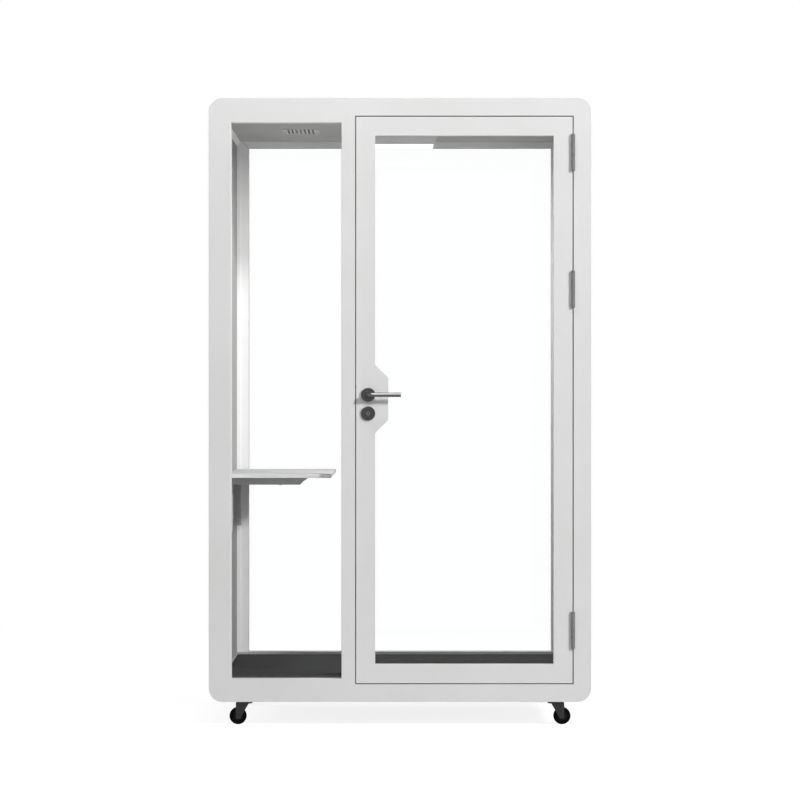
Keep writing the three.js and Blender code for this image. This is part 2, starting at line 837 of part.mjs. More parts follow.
function chassisFrame() {
  const span = [chassisBottom, chassisTop];
  const outside = block([-chassisHalf, chassisHalf], [frontInside, rearInside], span);
  const hollowHalf = chassisHalf - chassisTube;
  const hollow = block(
    [-hollowHalf, hollowHalf],
    [frontInside + chassisTube, rearInside - chassisTube],
    widened(span, cutThrough),
  );
  return cut(outside, hollow);
}

// The floor panel drops into the chassis and lies over it
function floorPanel() {
  const half = chassisHalf - chassisTube - clearance;
  const depths = [frontInside + chassisTube + clearance, rearInside - chassisTube - clearance];
  const core = block([-half, half], depths, [chassisBottom, deckTop]);
  const deck = block([-liningBack, liningBack], [frontInside, rearInside], [deckBottom, deckTop]);
  return core.add(deck);
}

function carpet() {
  const half = roomHalf - clearance;
  return block([-half, half], [frontInside, rearInside], [deckTop + clearance, floorZ]);
}

// Desk
const deskTopZ = floorZ + deskHeight;
const deskBottomZ = deskTopZ - deskThickness;
const deskLeft = -roomHalf + clearance;

function deskTop() {
  const plan = {
    left: deskLeft,
    right: deskLeft + deskDepth,
    bottom: frontInside + deskEndGap,
    top: rearInside - deskEndGap,
  };
  return level(roundedRectangle(plan, deskCorner), [deskBottomZ, deskTopZ], 2);
}

// Two arms with sloping ends on wall legs, welded to one rail along the wall
function deskBracket() {
  const top = deskBottomZ - clearance;
  const bottom = top - bracketHeight;
  const side = polygon([
    [deskLeft, top],
    [deskLeft, top - bracketLegHeight],
    [deskLeft + bracketLegThickness, top - bracketLegHeight],
    [deskLeft + bracketLegThickness, bottom],
    [deskLeft + bracketLength - bracketHeight, bottom],
    [deskLeft + bracketLength, top],
  ]);
  const front = frontInside + bracketInset;
  const rear = rearInside - bracketInset;
  const frontArm = upright(side, [front, front + bracketWidth]);
  const rearArm = upright(side, [rear - bracketWidth, rear]);
  const rail = block([deskLeft, deskLeft + bracketLegThickness], [front, rear], [bottom, top]);
  return joined(frontArm, rearArm, rail);
}

// Ceiling light: a flared tray with a lip that the diffuser lies on
const lightDepth = (frontInside + rearInside) / 2;
const lightTop = ceilingZ - clearance;
const lightBottom = lightTop - lightDrop;

function lightHousing() {
  const geometry = new THREE.BoxGeometry(lightWidth, lightLength, lightDrop);
  const corners = geometry.attributes.position;
  for (let index = 0; index < corners.count; index += 1) {
    if (corners.getZ(index) > 0) {
      corners.setX(index, corners.getX(index) + Math.sign(corners.getX(index)) * lightFlare);
      corners.setY(index, corners.getY(index) + Math.sign(corners.getY(index)) * lightFlare);
    }
  }
  const body = solid(geometry.translate(0, lightDepth, (lightTop + lightBottom) / 2));
  const tray = lightRoom(lightWall, [lightBottom + lightLipHeight, lightTop - lightWall]);
  const mouth = lightRoom(lightWall + lightLip, [lightBottom - cutThrough, lightTop - lightWall]);
  return cut(body, tray, mouth);
}

function lightRoom(inset, span) {
  const halfX = lightWidth / 2 - inset;
  const halfY = lightLength / 2 - inset;
  return block([-halfX, halfX], [lightDepth - halfY, lightDepth + halfY], span);
}

function lightDiffuser() {
  const bottom = lightBottom + lightLipHeight + clearance;
  return lightRoom(lightWall + clearance, [bottom, bottom + diffuserThickness]);
}

// Ventilation: a slotted grille under the ceiling, and a fan over the duct
function ventGrille() {
  const top = ceilingZ - clearance;
  const span = [top - grilleThickness, top];
  const plate = block(
    [ventX - grilleWidth / 2, ventX + grilleWidth / 2],
    [ventDepth - grilleLength / 2, ventDepth + grilleLength / 2],
    span,
  );
  return cut(plate, ...ventSlots(widened(span, cutThrough)));
}

const fanBottom = ceilingTop + clearance;
const fanTop = fanBottom + fanHeight;

function fanHousing() {
  const half = fanSize / 2;
  const span = [fanBottom, fanTop];
  const across = [ventX - half, ventX + half];
  const deep = [ventDepth - half, ventDepth + half];
  const frame = block(across, deep, span);
  const bore = barAlongZ(fanBore, widened(span, cutThrough), ventX, ventDepth, 36);
  const mountSpan = [fanBottom, fanBottom + fanMountHeight];
  const strutHalf = fanStrutWidth / 2;
  const strutX = block(across, [ventDepth - strutHalf, ventDepth + strutHalf], mountSpan);
  const strutY = block([ventX - strutHalf, ventX + strutHalf], deep, mountSpan);
  const mount = barAlongZ(fanHub, mountSpan, ventX, ventDepth, 24);
  const pin = barAlongZ(fanPinRadius, [fanBottom, fanTop - fanMountHeight], ventX, ventDepth, 12);
  return joined(cut(frame, bore), strutX, strutY, mount, pin);
}

function fanRotor() {
  const bottom = fanBottom + fanMountHeight + clearance;
  const top = fanTop - clearance;
  const hub = barAlongZ(fanHub, [bottom, top], ventX, ventDepth, 24);
  const pinWay = barAlongZ(
    fanPinRadius + clearance,
    [bottom - cutThrough, fanTop - fanMountHeight + clearance],
    ventX,
    ventDepth,
    12,
  );
  const bladeLength = fanBore - fanTipGap - fanHub / 2;
  const blades = Array.from({ length: bladeCount }, (_, index) => {
    const blade = new THREE.BoxGeometry(bladeLength, bladeChord, bladeThickness);
    blade.rotateX(bladePitch).translate(fanHub / 2 + bladeLength / 2, 0, 0);
    blade.rotateZ((index / bladeCount) * Math.PI * 2);
    return solid(blade.translate(ventX, ventDepth, (bottom + top) / 2));
  });
  const sweep = barAlongZ(fanBore - fanTipGap, [bottom, top], ventX, ventDepth, 48);
  return cut(joined(hub, ...blades).intersect(sweep), pinWay);
}

// Casters, drawn round their swivel axis with the wheel trailing towards -X
const wheelCentre = wheelDiameter / 2;
const wheelCorner = 1 / Math.cos(Math.PI / wheelSteps);
const forkTop = casterHeight - casterPlateThickness - clearance;
const forkHeadBottom = forkTop - forkHeadHeight;
const forkInside = wheelWidth / 2 + forkGap;
const forkOutside = forkInside + forkPlate;

function casterPlate() {
  const half = casterPlateSize / 2;
  const plateBottom = casterHeight - casterPlateThickness;
  const plate = block([-half, half], [-half, half], [plateBottom, casterHeight - clearance]);
  const headTop = forkHeadBottom - clearance;
  const pinTop = casterHeight - casterPlateThickness / 2;
  const pin = barAlongZ(kingpinRadius, [headTop - kingpinHeadHeight, pinTop], 0, 0);
  const head = barAlongZ(kingpinHeadRadius, [headTop - kingpinHeadHeight, headTop], 0, 0);
  return joined(plate, pin, head);
}

function casterFork() {
  const headProfile = [
    [0, -forkHeadHeight / 2],
    [forkHeadRadius - forkHeadEdge, -forkHeadHeight / 2],
    [forkHeadRadius, -forkHeadHeight / 2 + forkHeadEdge],
    [forkHeadRadius, forkHeadHeight / 2],
    [0, forkHeadHeight / 2],
  ];
  const head = turned(headProfile, 28).rotate([90, 0, 0]).translate([0, 0, forkTop - forkHeadHeight / 2]);
  const legHalf = forkLegWidth / 2;
  const side = polygon([
    [-casterTrail - legHalf, wheelCentre - forkLegDrop],
    [-casterTrail + legHalf, wheelCentre - forkLegDrop],
    [-casterTrail + forkLegReach, forkHeadBottom + forkHeadEdge],
    [-casterTrail - legHalf, forkHeadBottom + forkHeadEdge],
  ]);
  const nearLeg = upright(side, [-forkOutside, -forkInside]);
  const farLeg = upright(side, [forkInside, forkOutside]);
  const bridge = upright(
    polygon([
      [-casterTrail - legHalf, forkHeadBottom],
      [0, forkHeadBottom],
      [0, forkHeadBottom + forkHeadEdge],
      [-casterTrail - legHalf, forkHeadBottom + forkHeadEdge],
    ]),
    [-forkOutside, forkOutside],
  );
  const axle = barAlongY(axleRadius, [-forkOutside, forkOutside], -casterTrail, wheelCentre, 16);
  const headReach = forkOutside + axleHeadHeight;
  const nearHead = barAlongY(axleHeadRadius, [-headReach, -forkInside], -casterTrail, wheelCentre, 16);
  const farHead = barAlongY(axleHeadRadius, [forkInside, headReach], -casterTrail, wheelCentre, 16);
  const headSpan = [forkHeadBottom, forkTop];
  const pinWay = barAlongZ(kingpinRadius + clearance, widened(headSpan, cutThrough), 0, 0);
  return cut(joined(head, nearLeg, farLeg, bridge, axle, nearHead, farHead), pinWay);
}

function casterWheel() {
  const radius = wheelCentre * wheelCorner;
  const half = wheelWidth / 2;
  const bore = axleRadius + clearance;
  const edge = forkHeadEdge;
  const profile = [
    [bore, -half],
    [bore * 2, -half],
    [bore * 2, -half + hubRecess],
    [hubRadius, -half + hubRecess],
    [hubRadius, -half],
    [radius - edge, -half],
    [radius, -half + edge],
    [radius, half - edge],
    [radius - edge, half],
    [hubRadius, half],
    [hubRadius, half - hubRecess],
    [bore * 2, half - hubRecess],
    [bore * 2, half],
    [bore, half],
    [bore, -half],
  ];
  return turned(profile, wheelSteps).translate([-casterTrail, 0, wheelCentre]);
}

function caster(corner, x, y, turn) {
  const group = new THREE.Group();
  group.name = `caster_${corner}`;
  group.add(piece(`caster_plate_${corner}`, casterPlate(), satinSteel));
  group.add(piece(`caster_fork_${corner}`, casterFork(), blackSteel));
  group.add(piece(`caster_wheel_${corner}`, casterWheel(), blackRubber));
  group.position.set(x, y, 0);
  group.rotation.z = turn;
  return group;
}

// Assembly: everything is placed from the front face, which stands half the overall depth before the origin
const pod = new THREE.Group();
pod.name = "acoustic_office_pod";
pod.position.y = frontFace;

const cabin = new THREE.Group();
cabin.name = "cabin";
cabin.add(piece("front_frame", frontFrame(), whiteSteel));
cabin.add(piece("rear_frame", rearFrame(), whiteSteel));
cabin.add(piece("left_outer_skin", outerSkin(-1), whiteSteel));
cabin.add(piece("right_outer_skin", outerSkin(1), whiteSteel));
cabin.add(piece("roof_skin", roofSkin(), whiteSteel));
cabin.add(piece("base_pan", basePan(), whiteSteel));
cabin.add(piece("left_wall_core", wallCore(-1), mineralWool));
cabin.add(piece("right_wall_core", wallCore(1), mineralWool));
cabin.add(piece("roof_core", roofCore(), mineralWool));
cabin.add(piece("left_wall_lining", wallLining(-1), greyFelt));
cabin.add(piece("right_wall_lining", wallLining(1), greyFelt));
cabin.add(piece("ceiling_panel", ceilingPanel(), greyFelt));
cabin.add(piece("chassis_frame", chassisFrame(), blackSteel));
cabin.add(piece("floor_panel", floorPanel(), plywood));
cabin.add(piece("carpet", carpet(), darkCarpet));
cabin.add(piece("window_glass", glazingPane(windowOpening, windowGlassY), clearGlass));
cabin.add(piece("window_gasket", glazingGasket(windowOpening, windowGlassY), paleRubber));
cabin.add(piece("rear_glass", glazingPane(rearOpening, rearGlassY), clearGlass));
cabin.add(piece("rear_gasket", glazingGasket(rearOpening, rearGlassY), paleRubber));
cabin.add(piece("desk_top", deskTop(), whiteLaminate));
cabin.add(piece("desk_bracket", deskBracket(), greySteel));
cabin.add(piece("light_housing", lightHousing(), whiteSteel));
cabin.add(piece("light_diffuser", lightDiffuser(), opal));
cabin.add(piece("vent_grille", ventGrille(), greySteel));
cabin.add(piece("fan_housing", fanHousing(), blackPlastic));
cabin.add(piece("strike_plate", strikePlate(), satinSteel));
cabin.add(piece("door_seal", doorSeal(), blackRubber));
for (const name of hingeNames) {
  cabin.add(piece(`hinge_frame_leaf_${name}`, hingeFrameLeaf(name), satinSteel));
}

const fan = new THREE.Group();
fan.name = "fan";
fan.add(piece("fan_rotor", fanRotor(), blackPlastic));

const door = new THREE.Group();
door.name = "door";
door.add(piece("door_frame", doorFrame(), whiteSteel));
door.add(piece("door_glass", glazingPane(doorOpening, lockY), clearGlass));
door.add(piece("door_gasket", glazingGasket(doorOpening, lockY), paleRubber));
for (const name of hingeNames) {
  door.add(piece(`hinge_door_leaf_${name}`, hingeDoorLeaf(name), satinSteel));
}
door.add(piece("lock_case", lockCase(), satinSteel));
door.add(piece("outer_rose", rose(true), gunmetal));
door.add(piece("inner_rose", rose(false), gunmetal));
door.add(piece("outer_escutcheon", escutcheon(true), gunmetal));
door.add(piece("inner_escutcheon", escutcheon(false), gunmetal));
door.add(piece("key_cylinder", keyCylinder(), gunmetal));

const lock = new THREE.Group();
lock.name = "lock";
lock.add(piece("outer_lever", outerLever(), gunmetal));
lock.add(piece("inner_lever", innerLever(), gunmetal));
lock.add(piece("latch_bolt", latchBolt(), satinSteel));
lock.add(piece("thumbturn", thumbTurn(), gunmetal));
lock.add(piece("dead_bolt", deadBolt(), satinSteel));
door.add(lock);

const casterX = halfWidth - casterInsetX;
pod.add(
  cabin,
  fan,
  door,
  caster("front_left", -casterX, casterInsetY, 0),
  caster("front_right", casterX, casterInsetY, Math.PI),
  caster("rear_left", -casterX, podDepth - casterInsetY, 0),
  caster("rear_right", casterX, podDepth - casterInsetY, Math.PI),
);

export default pod;
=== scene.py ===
import math
import bpy
from mathutils import Matrix, Vector


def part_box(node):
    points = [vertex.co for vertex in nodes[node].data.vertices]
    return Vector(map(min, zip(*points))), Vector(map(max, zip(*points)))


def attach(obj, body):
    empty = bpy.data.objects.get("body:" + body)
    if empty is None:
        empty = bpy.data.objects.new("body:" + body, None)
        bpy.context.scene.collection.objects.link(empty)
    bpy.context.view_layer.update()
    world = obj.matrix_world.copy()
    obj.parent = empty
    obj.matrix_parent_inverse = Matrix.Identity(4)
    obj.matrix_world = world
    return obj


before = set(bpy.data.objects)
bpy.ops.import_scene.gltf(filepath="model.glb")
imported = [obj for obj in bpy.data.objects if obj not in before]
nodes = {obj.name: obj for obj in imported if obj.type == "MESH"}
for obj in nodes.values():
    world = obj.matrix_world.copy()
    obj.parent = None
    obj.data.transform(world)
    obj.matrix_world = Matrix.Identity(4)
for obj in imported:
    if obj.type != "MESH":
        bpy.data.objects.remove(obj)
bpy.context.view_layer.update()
corners = ["front_left", "front_right", "rear_left", "rear_right"]
hinges = ["top", "middle", "bottom"]
print("frame loaded:", len(nodes), "nodes")


# Shader maths: one socket of a material, with sums that add their own Math nodes
class Wire:
    def __init__(self, tree, socket=None):
        self.tree = tree
        self.socket = socket

    def node(self, kind, settings=None, inputs=None, out=0):
        made = self.tree.nodes.new(kind)
        for key, value in (settings or {}).items():
            if key == "stops":
                for spot, (place, shade) in zip(made.color_ramp.elements, value):
                    spot.position = place
                    spot.color = (shade, shade, shade, 1)
            else:
                setattr(made, key, value)
        for key, value in (inputs or {}).items():
            if isinstance(value, Wire):
                self.tree.links.new(value.socket, made.inputs[key])
            else:
                made.inputs[key].default_value = value
        return Wire(self.tree, made.outputs[out]) if made.outputs else None

    def sum(self, operation, first, second):
        return self.node("ShaderNodeMath", {"operation": operation}, {0: first, 1: second})

    def __add__(self, other):
        return self.sum("ADD", self, other)

    def __mul__(self, other):
        return self.sum("MULTIPLY", self, other)

    def __rsub__(self, other):
        return self.sum("SUBTRACT", other, self)

    __radd__ = __add__
    __rmul__ = __mul__


def newPaint(name):
    material = bpy.data.materials.new(name)
    material.use_nodes = True
    material.node_tree.nodes.clear()
    place = Wire(material.node_tree).node("ShaderNodeTexCoord", out="Object")
    return material, place


def grain(place, scale, detail=2.0, stretch=(1, 1, 1)):
    turned = place.node("ShaderNodeMapping", None, {"Vector": place, "Scale": stretch})
    return place.node("ShaderNodeTexNoise", None, {"Vector": turned, "Scale": scale, "Detail": detail})


def ramp(value, low, high):
    stops = [(low, 0), (high, 1)]
    return value.node("ShaderNodeValToRGB", {"stops": stops}, {"Fac": value})


def blendColour(mask, first, second):
    settings = {"data_type": "RGBA"}
    return mask.node("ShaderNodeMix", settings, {0: mask, 6: (*first, 1), 7: (*second, 1)}, out=2)


def bumped(height, settings):
    inputs = {"Height": height, "Strength": settings["relief"], "Distance": settings["depth"]}
    return height.node("ShaderNodeBump", None, inputs)


def finishPaint(place, inputs):
    shader = place.node("ShaderNodeBsdfPrincipled", None, inputs)
    place.node("ShaderNodeOutputMaterial", None, {"Surface": shader})


# Powder coat on the shell, the door and the fittings: a fine orange peel and a little dust
powder = {
    "light": (0.82, 0.82, 0.82), "dusty": (0.79, 0.79, 0.785), "peel": 700, "cloud": 3, "dust": (0.35, 0.7),
    "relief": 0.35, "depth": 0.00006, "gloss": 0.42, "uneven": 0.14, "shine": 0.18,
}
# The rear frame and the cove strips take a paler copy of the white coat: painted light that makes them brighter
# than the same white paint at the front
brightenedTone = {"light": (0.93, 0.93, 0.925), "dusty": (0.905, 0.905, 0.9)}
greyTone = {"light": (0.57, 0.565, 0.555), "dusty": (0.55, 0.545, 0.535)}
# Mid-grey coat on the desk bracket, its shoes, the skirting and the sill strip: partly their own grey, partly
# painted shade for the dark under the desk and along the floor
bracketTone = {"light": (0.48, 0.48, 0.48), "dusty": (0.45, 0.45, 0.45)}


def powderCoat(name, settings):
    material, place = newPaint(name)
    peel = grain(place, settings["peel"], 3)
    cloud = grain(place, settings["cloud"], 4)
    finishPaint(place, {
        "Base Color": blendColour(ramp(cloud, *settings["dust"]), settings["light"], settings["dusty"]),
        "Specular IOR Level": settings["shine"],
        "Roughness": settings["gloss"] + settings["uneven"] * peel,
        "Normal": bumped(peel, settings),
    })
    return material


whiteSteel = powderCoat("white_powder_coat", powder)
brightenedSteel = powderCoat("brightened_powder_coat", {**powder, **brightenedTone})
greySteel = powderCoat("grey_powder_coat", {**powder, **greyTone})
bracketSteel = powderCoat("bracket_powder_coat", {**powder, **bracketTone})

# Clear glass: see-through, with a mirror sheen that grows at a slant
glass = {"tint": (0.9975, 0.9995, 0.999), "sheen": 0.008, "slant": 0.8, "steepness": 5.0, "gloss": 0.02}


def clearGlass(name, settings):
    material, place = newPaint(name)
    through = place.node("ShaderNodeBsdfTransparent", None, {"Color": (*settings["tint"], 1)})
    mirror = place.node("ShaderNodeBsdfPrincipled", None, {
        "Base Color": (1, 1, 1, 1), "Metallic": 1.0, "Roughness": settings["gloss"]})
    slant = place.node("ShaderNodeLayerWeight", None, {"Blend": 0.5}, out="Facing")
    sheen = slant.sum("POWER", slant, settings["steepness"]) * settings["slant"] + settings["sheen"]
    both = place.node("ShaderNodeMixShader", None, {0: sheen, 1: through, 2: mirror})
    place.node("ShaderNodeOutputMaterial", None, {"Surface": both})
    return material


paneGlass = clearGlass("pane_glass", glass)

# Felt on the walls and the ceiling: heathered fibres, pressed flat
felt = {
    "pale": (0.382, 0.377, 0.377), "dark": (0.312, 0.307, 0.307), "heather": (0.36, 0.64),
    "fibre": 260, "fibreShare": 0.65, "comb": (1, 1, 0.35), "fleck": 900, "fleckShare": 0.35,
    "relief": 0.5, "depth": 0.0005, "gloss": 0.92, "uneven": 0.06, "shine": 0.12, "fuzz": 0.2, "fuzzGloss": 0.5,
}
# The ceiling's felt is a paler copy of the wall felt: partly its own paler tone, partly painted light that
# makes up for the weak light on the ceiling
ceilingTone = {"pale": (0.67, 0.665, 0.64), "dark": (0.57, 0.565, 0.545)}


def feltCloth(name, settings):
    material, place = newPaint(name)
    fibre = grain(place, settings["fibre"], 6, settings["comb"])
    fleck = grain(place, settings["fleck"], 2)
    mixed = fibre * settings["fibreShare"] + fleck * settings["fleckShare"]
    finishPaint(place, {
        "Base Color": blendColour(ramp(mixed, *settings["heather"]), settings["dark"], settings["pale"]),
        "Roughness": settings["gloss"] + settings["uneven"] * fleck,
        "Specular IOR Level": settings["shine"],
        "Normal": bumped(mixed, settings),
        "Sheen Weight": settings["fuzz"],
        "Sheen Roughness": settings["fuzzGloss"],
    })
    return material


wallFelt = feltCloth("wall_felt", felt)
ceilingFelt = feltCloth("ceiling_felt", {**felt, **ceilingTone})

# Carpet: short looped pile in rows, with lighter and darker yarns
pile = {
    "pale": (0.06, 0.06, 0.061), "dark": (0.021, 0.021, 0.022), "heather": (0.34, 0.72),
    "loop": 330, "loopShare": 0.3, "row": (1, 0.72, 1), "yarn": 90, "yarnShare": 0.7,
    "relief": 0.8, "depth": 0.0022, "gloss": 0.95, "uneven": 0.05, "shine": 0.1,
}


def loopPile(name, settings):
    material, place = newPaint(name)
    turned = place.node("ShaderNodeMapping", None, {"Vector": place, "Scale": settings["row"]})
    spots = {"Vector": turned, "Scale": settings["loop"]}
    loops = place.node("ShaderNodeTexVoronoi", {"feature": "F1"}, spots)
    yarn = grain(place, settings["yarn"], 5)
    tone = ramp(yarn * settings["yarnShare"] + (1 - loops) * settings["loopShare"], *settings["heather"])
    finishPaint(place, {
        "Base Color": blendColour(tone, settings["dark"], settings["pale"]),
        "Roughness": settings["gloss"] - settings["uneven"] * yarn,
        "Specular IOR Level": settings["shine"],
        "Normal": bumped(1 - loops, settings),
    })
    return material


floorPile = loopPile("loop_pile", pile)

# Desk laminate: white and finely pebbled; its upward faces are painted darker, a painted shade that tones down
# the strong light on the desk top
laminate = {
    "top": (0.565, 0.565, 0.565), "laminateWhite": (0.8, 0.8, 0.795), "upward": (0.3, 0.9),
    "cover": 0.85, "mist": 0.15, "pebble": 1100, "cloud": 5, "relief": 0.35, "depth": 0.00004,
    "gloss": 0.6, "uneven": 0.14, "shine": 0.06,
}


def shadedTopLaminate(name, settings):
    material, place = newPaint(name)
    pebble = grain(place, settings["pebble"], 3)
    cloud = grain(place, settings["cloud"], 4)
    normal = place.node("ShaderNodeNewGeometry", out="Normal")
    height = place.node("ShaderNodeSeparateXYZ", None, {"Vector": normal}, out="Z")
    upward = ramp(height, *settings["upward"])
    # The upward faces take the grey top colour, clouded a little: painted shade
    paintedTopShade = upward * (settings["cover"] + settings["mist"] * cloud)
    finishPaint(place, {
        "Base Color": blendColour(paintedTopShade, settings["laminateWhite"], settings["top"]),
        "Specular IOR Level": settings["shine"],
        "Roughness": settings["gloss"] + settings["uneven"] * pebble,
        "Normal": bumped(pebble, settings),
    })
    return material


deskLaminate = shadedTopLaminate("desk_laminate", laminate)

# Metals: brushed along one way, with a cloudy polish
brushed = {"cloud": 18, "uneven": 0.12, "relief": 0.15, "depth": 0.00003}
gunmetal = {
    **brushed, "light": (0.07, 0.07, 0.072), "dark": (0.047, 0.047, 0.049), "metal": 0.9, "gloss": 0.24,
    "lines": 900, "along": (0.08, 1, 1),
}
polished = {**gunmetal, "light": (0.115, 0.115, 0.118), "dark": (0.095, 0.095, 0.098), "gloss": 0.06}
satin = {
    **brushed, "light": (0.62, 0.62, 0.63), "dark": (0.5, 0.5, 0.51), "metal": 1.0, "gloss": 0.22,
    "lines": 700, "along": (1, 1, 0.06),
}
greySatin = {**satin, "light": (0.235, 0.235, 0.24), "dark": (0.155, 0.155, 0.16), "metal": 0.1}
forkPaint = {
    **brushed, "light": (0.03, 0.03, 0.032), "dark": (0.019, 0.019, 0.021), "metal": 0.3, "gloss": 0.38,
    "lines": 500, "along": (1, 1, 1),
}


def brushedMetal(name, settings):
    material, place = newPaint(name)
    lines = grain(place, settings["lines"], 3, settings["along"])
    cloud = grain(place, settings["cloud"], 3)
    finishPaint(place, {
        "Base Color": blendColour(lines, settings["dark"], settings["light"]),
        "Metallic": settings["metal"],
        "Roughness": settings["gloss"] + settings["uneven"] * cloud,
        "Normal": bumped(lines, settings),
    })
    return material


roseMetal = brushedMetal("dark_plated_metal", gunmetal)
leverMetal = brushedMetal("polished_dark_metal", polished)
satinSteel = brushedMetal("satin_steel", satin)
hingeSteel = brushedMetal("hinge_steel", greySatin)
forkSteel = brushedMetal("dark_painted_steel", forkPaint)

# Rubber, moulded plastic, wool and board: mottled and dull
dull = {"blotch": (0.3, 0.75), "uneven": 0.2, "relief": 0.3, "shine": 0.5}
sealing = {
    **dull, "dark": (0.006, 0.006, 0.006), "light": (0.014, 0.014, 0.014), "shine": 0.1,
    "speck": 500, "gloss": 0.6, "depth": 0.0001,
}
tread = {
    **dull, "dark": (0.003, 0.003, 0.003), "light": (0.007, 0.007, 0.007), "shine": 0.04,
    "speck": 350, "gloss": 0.6, "depth": 0.0002,
}
fanMoulding = {
    **dull, "dark": (0.26, 0.26, 0.26), "light": (0.32, 0.32, 0.315),
    "speck": 900, "gloss": 0.4, "depth": 0.00006,
}
hubMoulding = {
    **dull, "dark": (0.006, 0.006, 0.006), "light": (0.012, 0.012, 0.012), "shine": 0.12,
    "speck": 700, "gloss": 0.4, "depth": 0.00006,
}
glazing = {
    **dull, "dark": (0.7, 0.7, 0.69), "light": (0.78, 0.78, 0.77),
    "speck": 500, "gloss": 0.5, "depth": 0.0001,
}
wool = {
    **dull, "dark": (0.2, 0.18, 0.15), "light": (0.34, 0.31, 0.26),
    "speck": 160, "gloss": 0.8, "depth": 0.003,
}
filmFace = {
    **dull, "dark": (0.013, 0.013, 0.0135), "light": (0.025, 0.025, 0.026),
    "speck": 60, "gloss": 0.5, "depth": 0.0002,
}


def mottled(name, settings):
    material, place = newPaint(name)
    speck = grain(place, settings["speck"], 4)
    finishPaint(place, {
        "Base Color": blendColour(ramp(speck, *settings["blotch"]), settings["dark"], settings["light"]),
        "Specular IOR Level": settings["shine"],
        "Roughness": settings["gloss"] + settings["uneven"] * speck,
        "Normal": bumped(speck, settings),
    })
    return material


sealRubber = mottled("seal_rubber", sealing)
wheelRubber = mottled("wheel_rubber", tread)
fanPlastic = mottled("fan_plastic", fanMoulding)
hubPlastic = mottled("hub_plastic", hubMoulding)
paleRubber = mottled("pale_rubber", glazing)
woolBatt = mottled("wool_batt", wool)
plyBoard = mottled("film_faced_ply", filmFace)

# Opal diffuser: glows, faintly clouded by the light source behind it
opal = {
    "base": (0.9, 0.9, 0.9), "edge": (0.93, 0.93, 0.93), "middle": (1, 1, 1),
    "cloud": 25, "gloss": 0.5, "glow": 1.15,
}


def opalSheet(name, settings):
    material, place = newPaint(name)
    cloud = grain(place, settings["cloud"], 2)
    finishPaint(place, {
        "Base Color": (*settings["base"], 1),
        "Roughness": settings["gloss"],
        "Emission Color": blendColour(cloud, settings["edge"], settings["middle"]),
        "Emission Strength": settings["glow"],
    })
    return material


opalLight = opalSheet("opal_sheet", opal)
print("materials made:", len(bpy.data.materials))

# CAD nodes keep their shape: modifiers ease their edges, and they get the materials above.
# Each row: material, nodes, width of an eased edge in metres, its steps, and the angle that makes an edge.
roses = ["outer_rose", "inner_rose", "outer_escutcheon", "inner_escutcheon"]
hingeLeaves = [side + hinge for side in ("hinge_frame_leaf_", "hinge_door_leaf_") for hinge in hinges]
coats = [
    (whiteSteel, ["front_frame"], 0.0016, 3, 32),
    (whiteSteel, ["door_frame"], 0.0014, 3, 32),
    (whiteSteel, ["left_outer_skin", "right_outer_skin", "roof_skin", "base_pan"], 0.0006, 3, 32),
    (whiteSteel, ["light_housing"], 0.0008, 3, 32),
    (paneGlass, ["window_glass", "rear_glass", "door_glass"], 0, 0, 32),
    (brightenedSteel, ["rear_frame"], 0.0016, 3, 32),
    (bracketSteel, ["desk_bracket"], 0.0012, 3, 32),
    (greySteel, ["vent_grille"], 0.0006, 3, 32),
    (paleRubber, ["window_gasket", "rear_gasket", "door_gasket"], 0.0004, 2, 32),
    (sealRubber, ["door_seal"], 0.0004, 2, 32),
    (wallFelt, ["left_wall_lining", "right_wall_lining"], 0.001, 2, 32),
    (ceilingFelt, ["ceiling_panel"], 0.001, 2, 32),
    (woolBatt, ["left_wall_core", "right_wall_core", "roof_core"], 0, 0, 32),
    (floorPile, ["carpet"], 0.0012, 2, 32),
    (plyBoard, ["floor_panel"], 0.0006, 2, 32),
    (forkSteel, ["chassis_frame"], 0.0015, 2, 32),
    (deskLaminate, ["desk_top"], 0.0015, 3, 32),
    (opalLight, ["light_diffuser"], 0.0004, 2, 32),
    (fanPlastic, ["fan_housing", "fan_rotor"], 0, 0, 32),
    (roseMetal, roses, 0.0006, 3, 30),
    (roseMetal, ["key_cylinder"], 0.0003, 2, 32),
    (leverMetal, ["outer_lever", "inner_lever", "thumbturn"], 0.0015, 3, 35),
    (satinSteel, ["strike_plate", "lock_case", "latch_bolt", "dead_bolt"], 0.0003, 2, 32),
    (hingeSteel, hingeLeaves, 0.0005, 2, 30),
    (satinSteel, ["caster_plate_" + corner for corner in corners], 0.0006, 2, 32),
    (forkSteel, ["caster_fork_" + corner for corner in corners], 0.0008, 2, 30),
    (wheelRubber, ["caster_wheel_" + corner for corner in corners], 0.001, 2, 30),
]
mending = {"weld": 0.00001, "flatAngle": 0.5}


def dress(node, material, ease, steps, edgeAngle):
    node.data.materials.clear()
    node.data.materials.append(material)
    for face in node.data.polygons:
        face.use_smooth = True
    node.modifiers.new("weld", "WELD").merge_threshold = mending["weld"]
    flat = node.modifiers.new("flat", "DECIMATE")
    flat.decimate_type = "DISSOLVE"
    flat.angle_limit = math.radians(mending["flatAngle"])
    if ease:
        edge = node.modifiers.new("ease", "BEVEL")
        edge.width = ease
        edge.segments = steps
        edge.limit_method = "ANGLE"
        edge.angle_limit = math.radians(edgeAngle)
        edge.harden_normals = False
        shade = node.modifiers.new("shade", "WEIGHTED_NORMAL")
        shade.keep_sharp = True
    else:
        node.modifiers.new("split", "EDGE_SPLIT").split_angle = math.radians(edgeAngle)


for material, names, ease, steps, edgeAngle in coats:
    for name in names:
        dress(nodes[name], material, ease, steps, edgeAngle)
print("CAD nodes dressed")


# Small pieces modelled by hand: each starts as a primitive, is shaped in edit mode and ends at its place
# in its mesh
handwork = {"smoothAngle": 35, "squareOn": 0.9}  # degrees; how far along an axis a face's normal lies


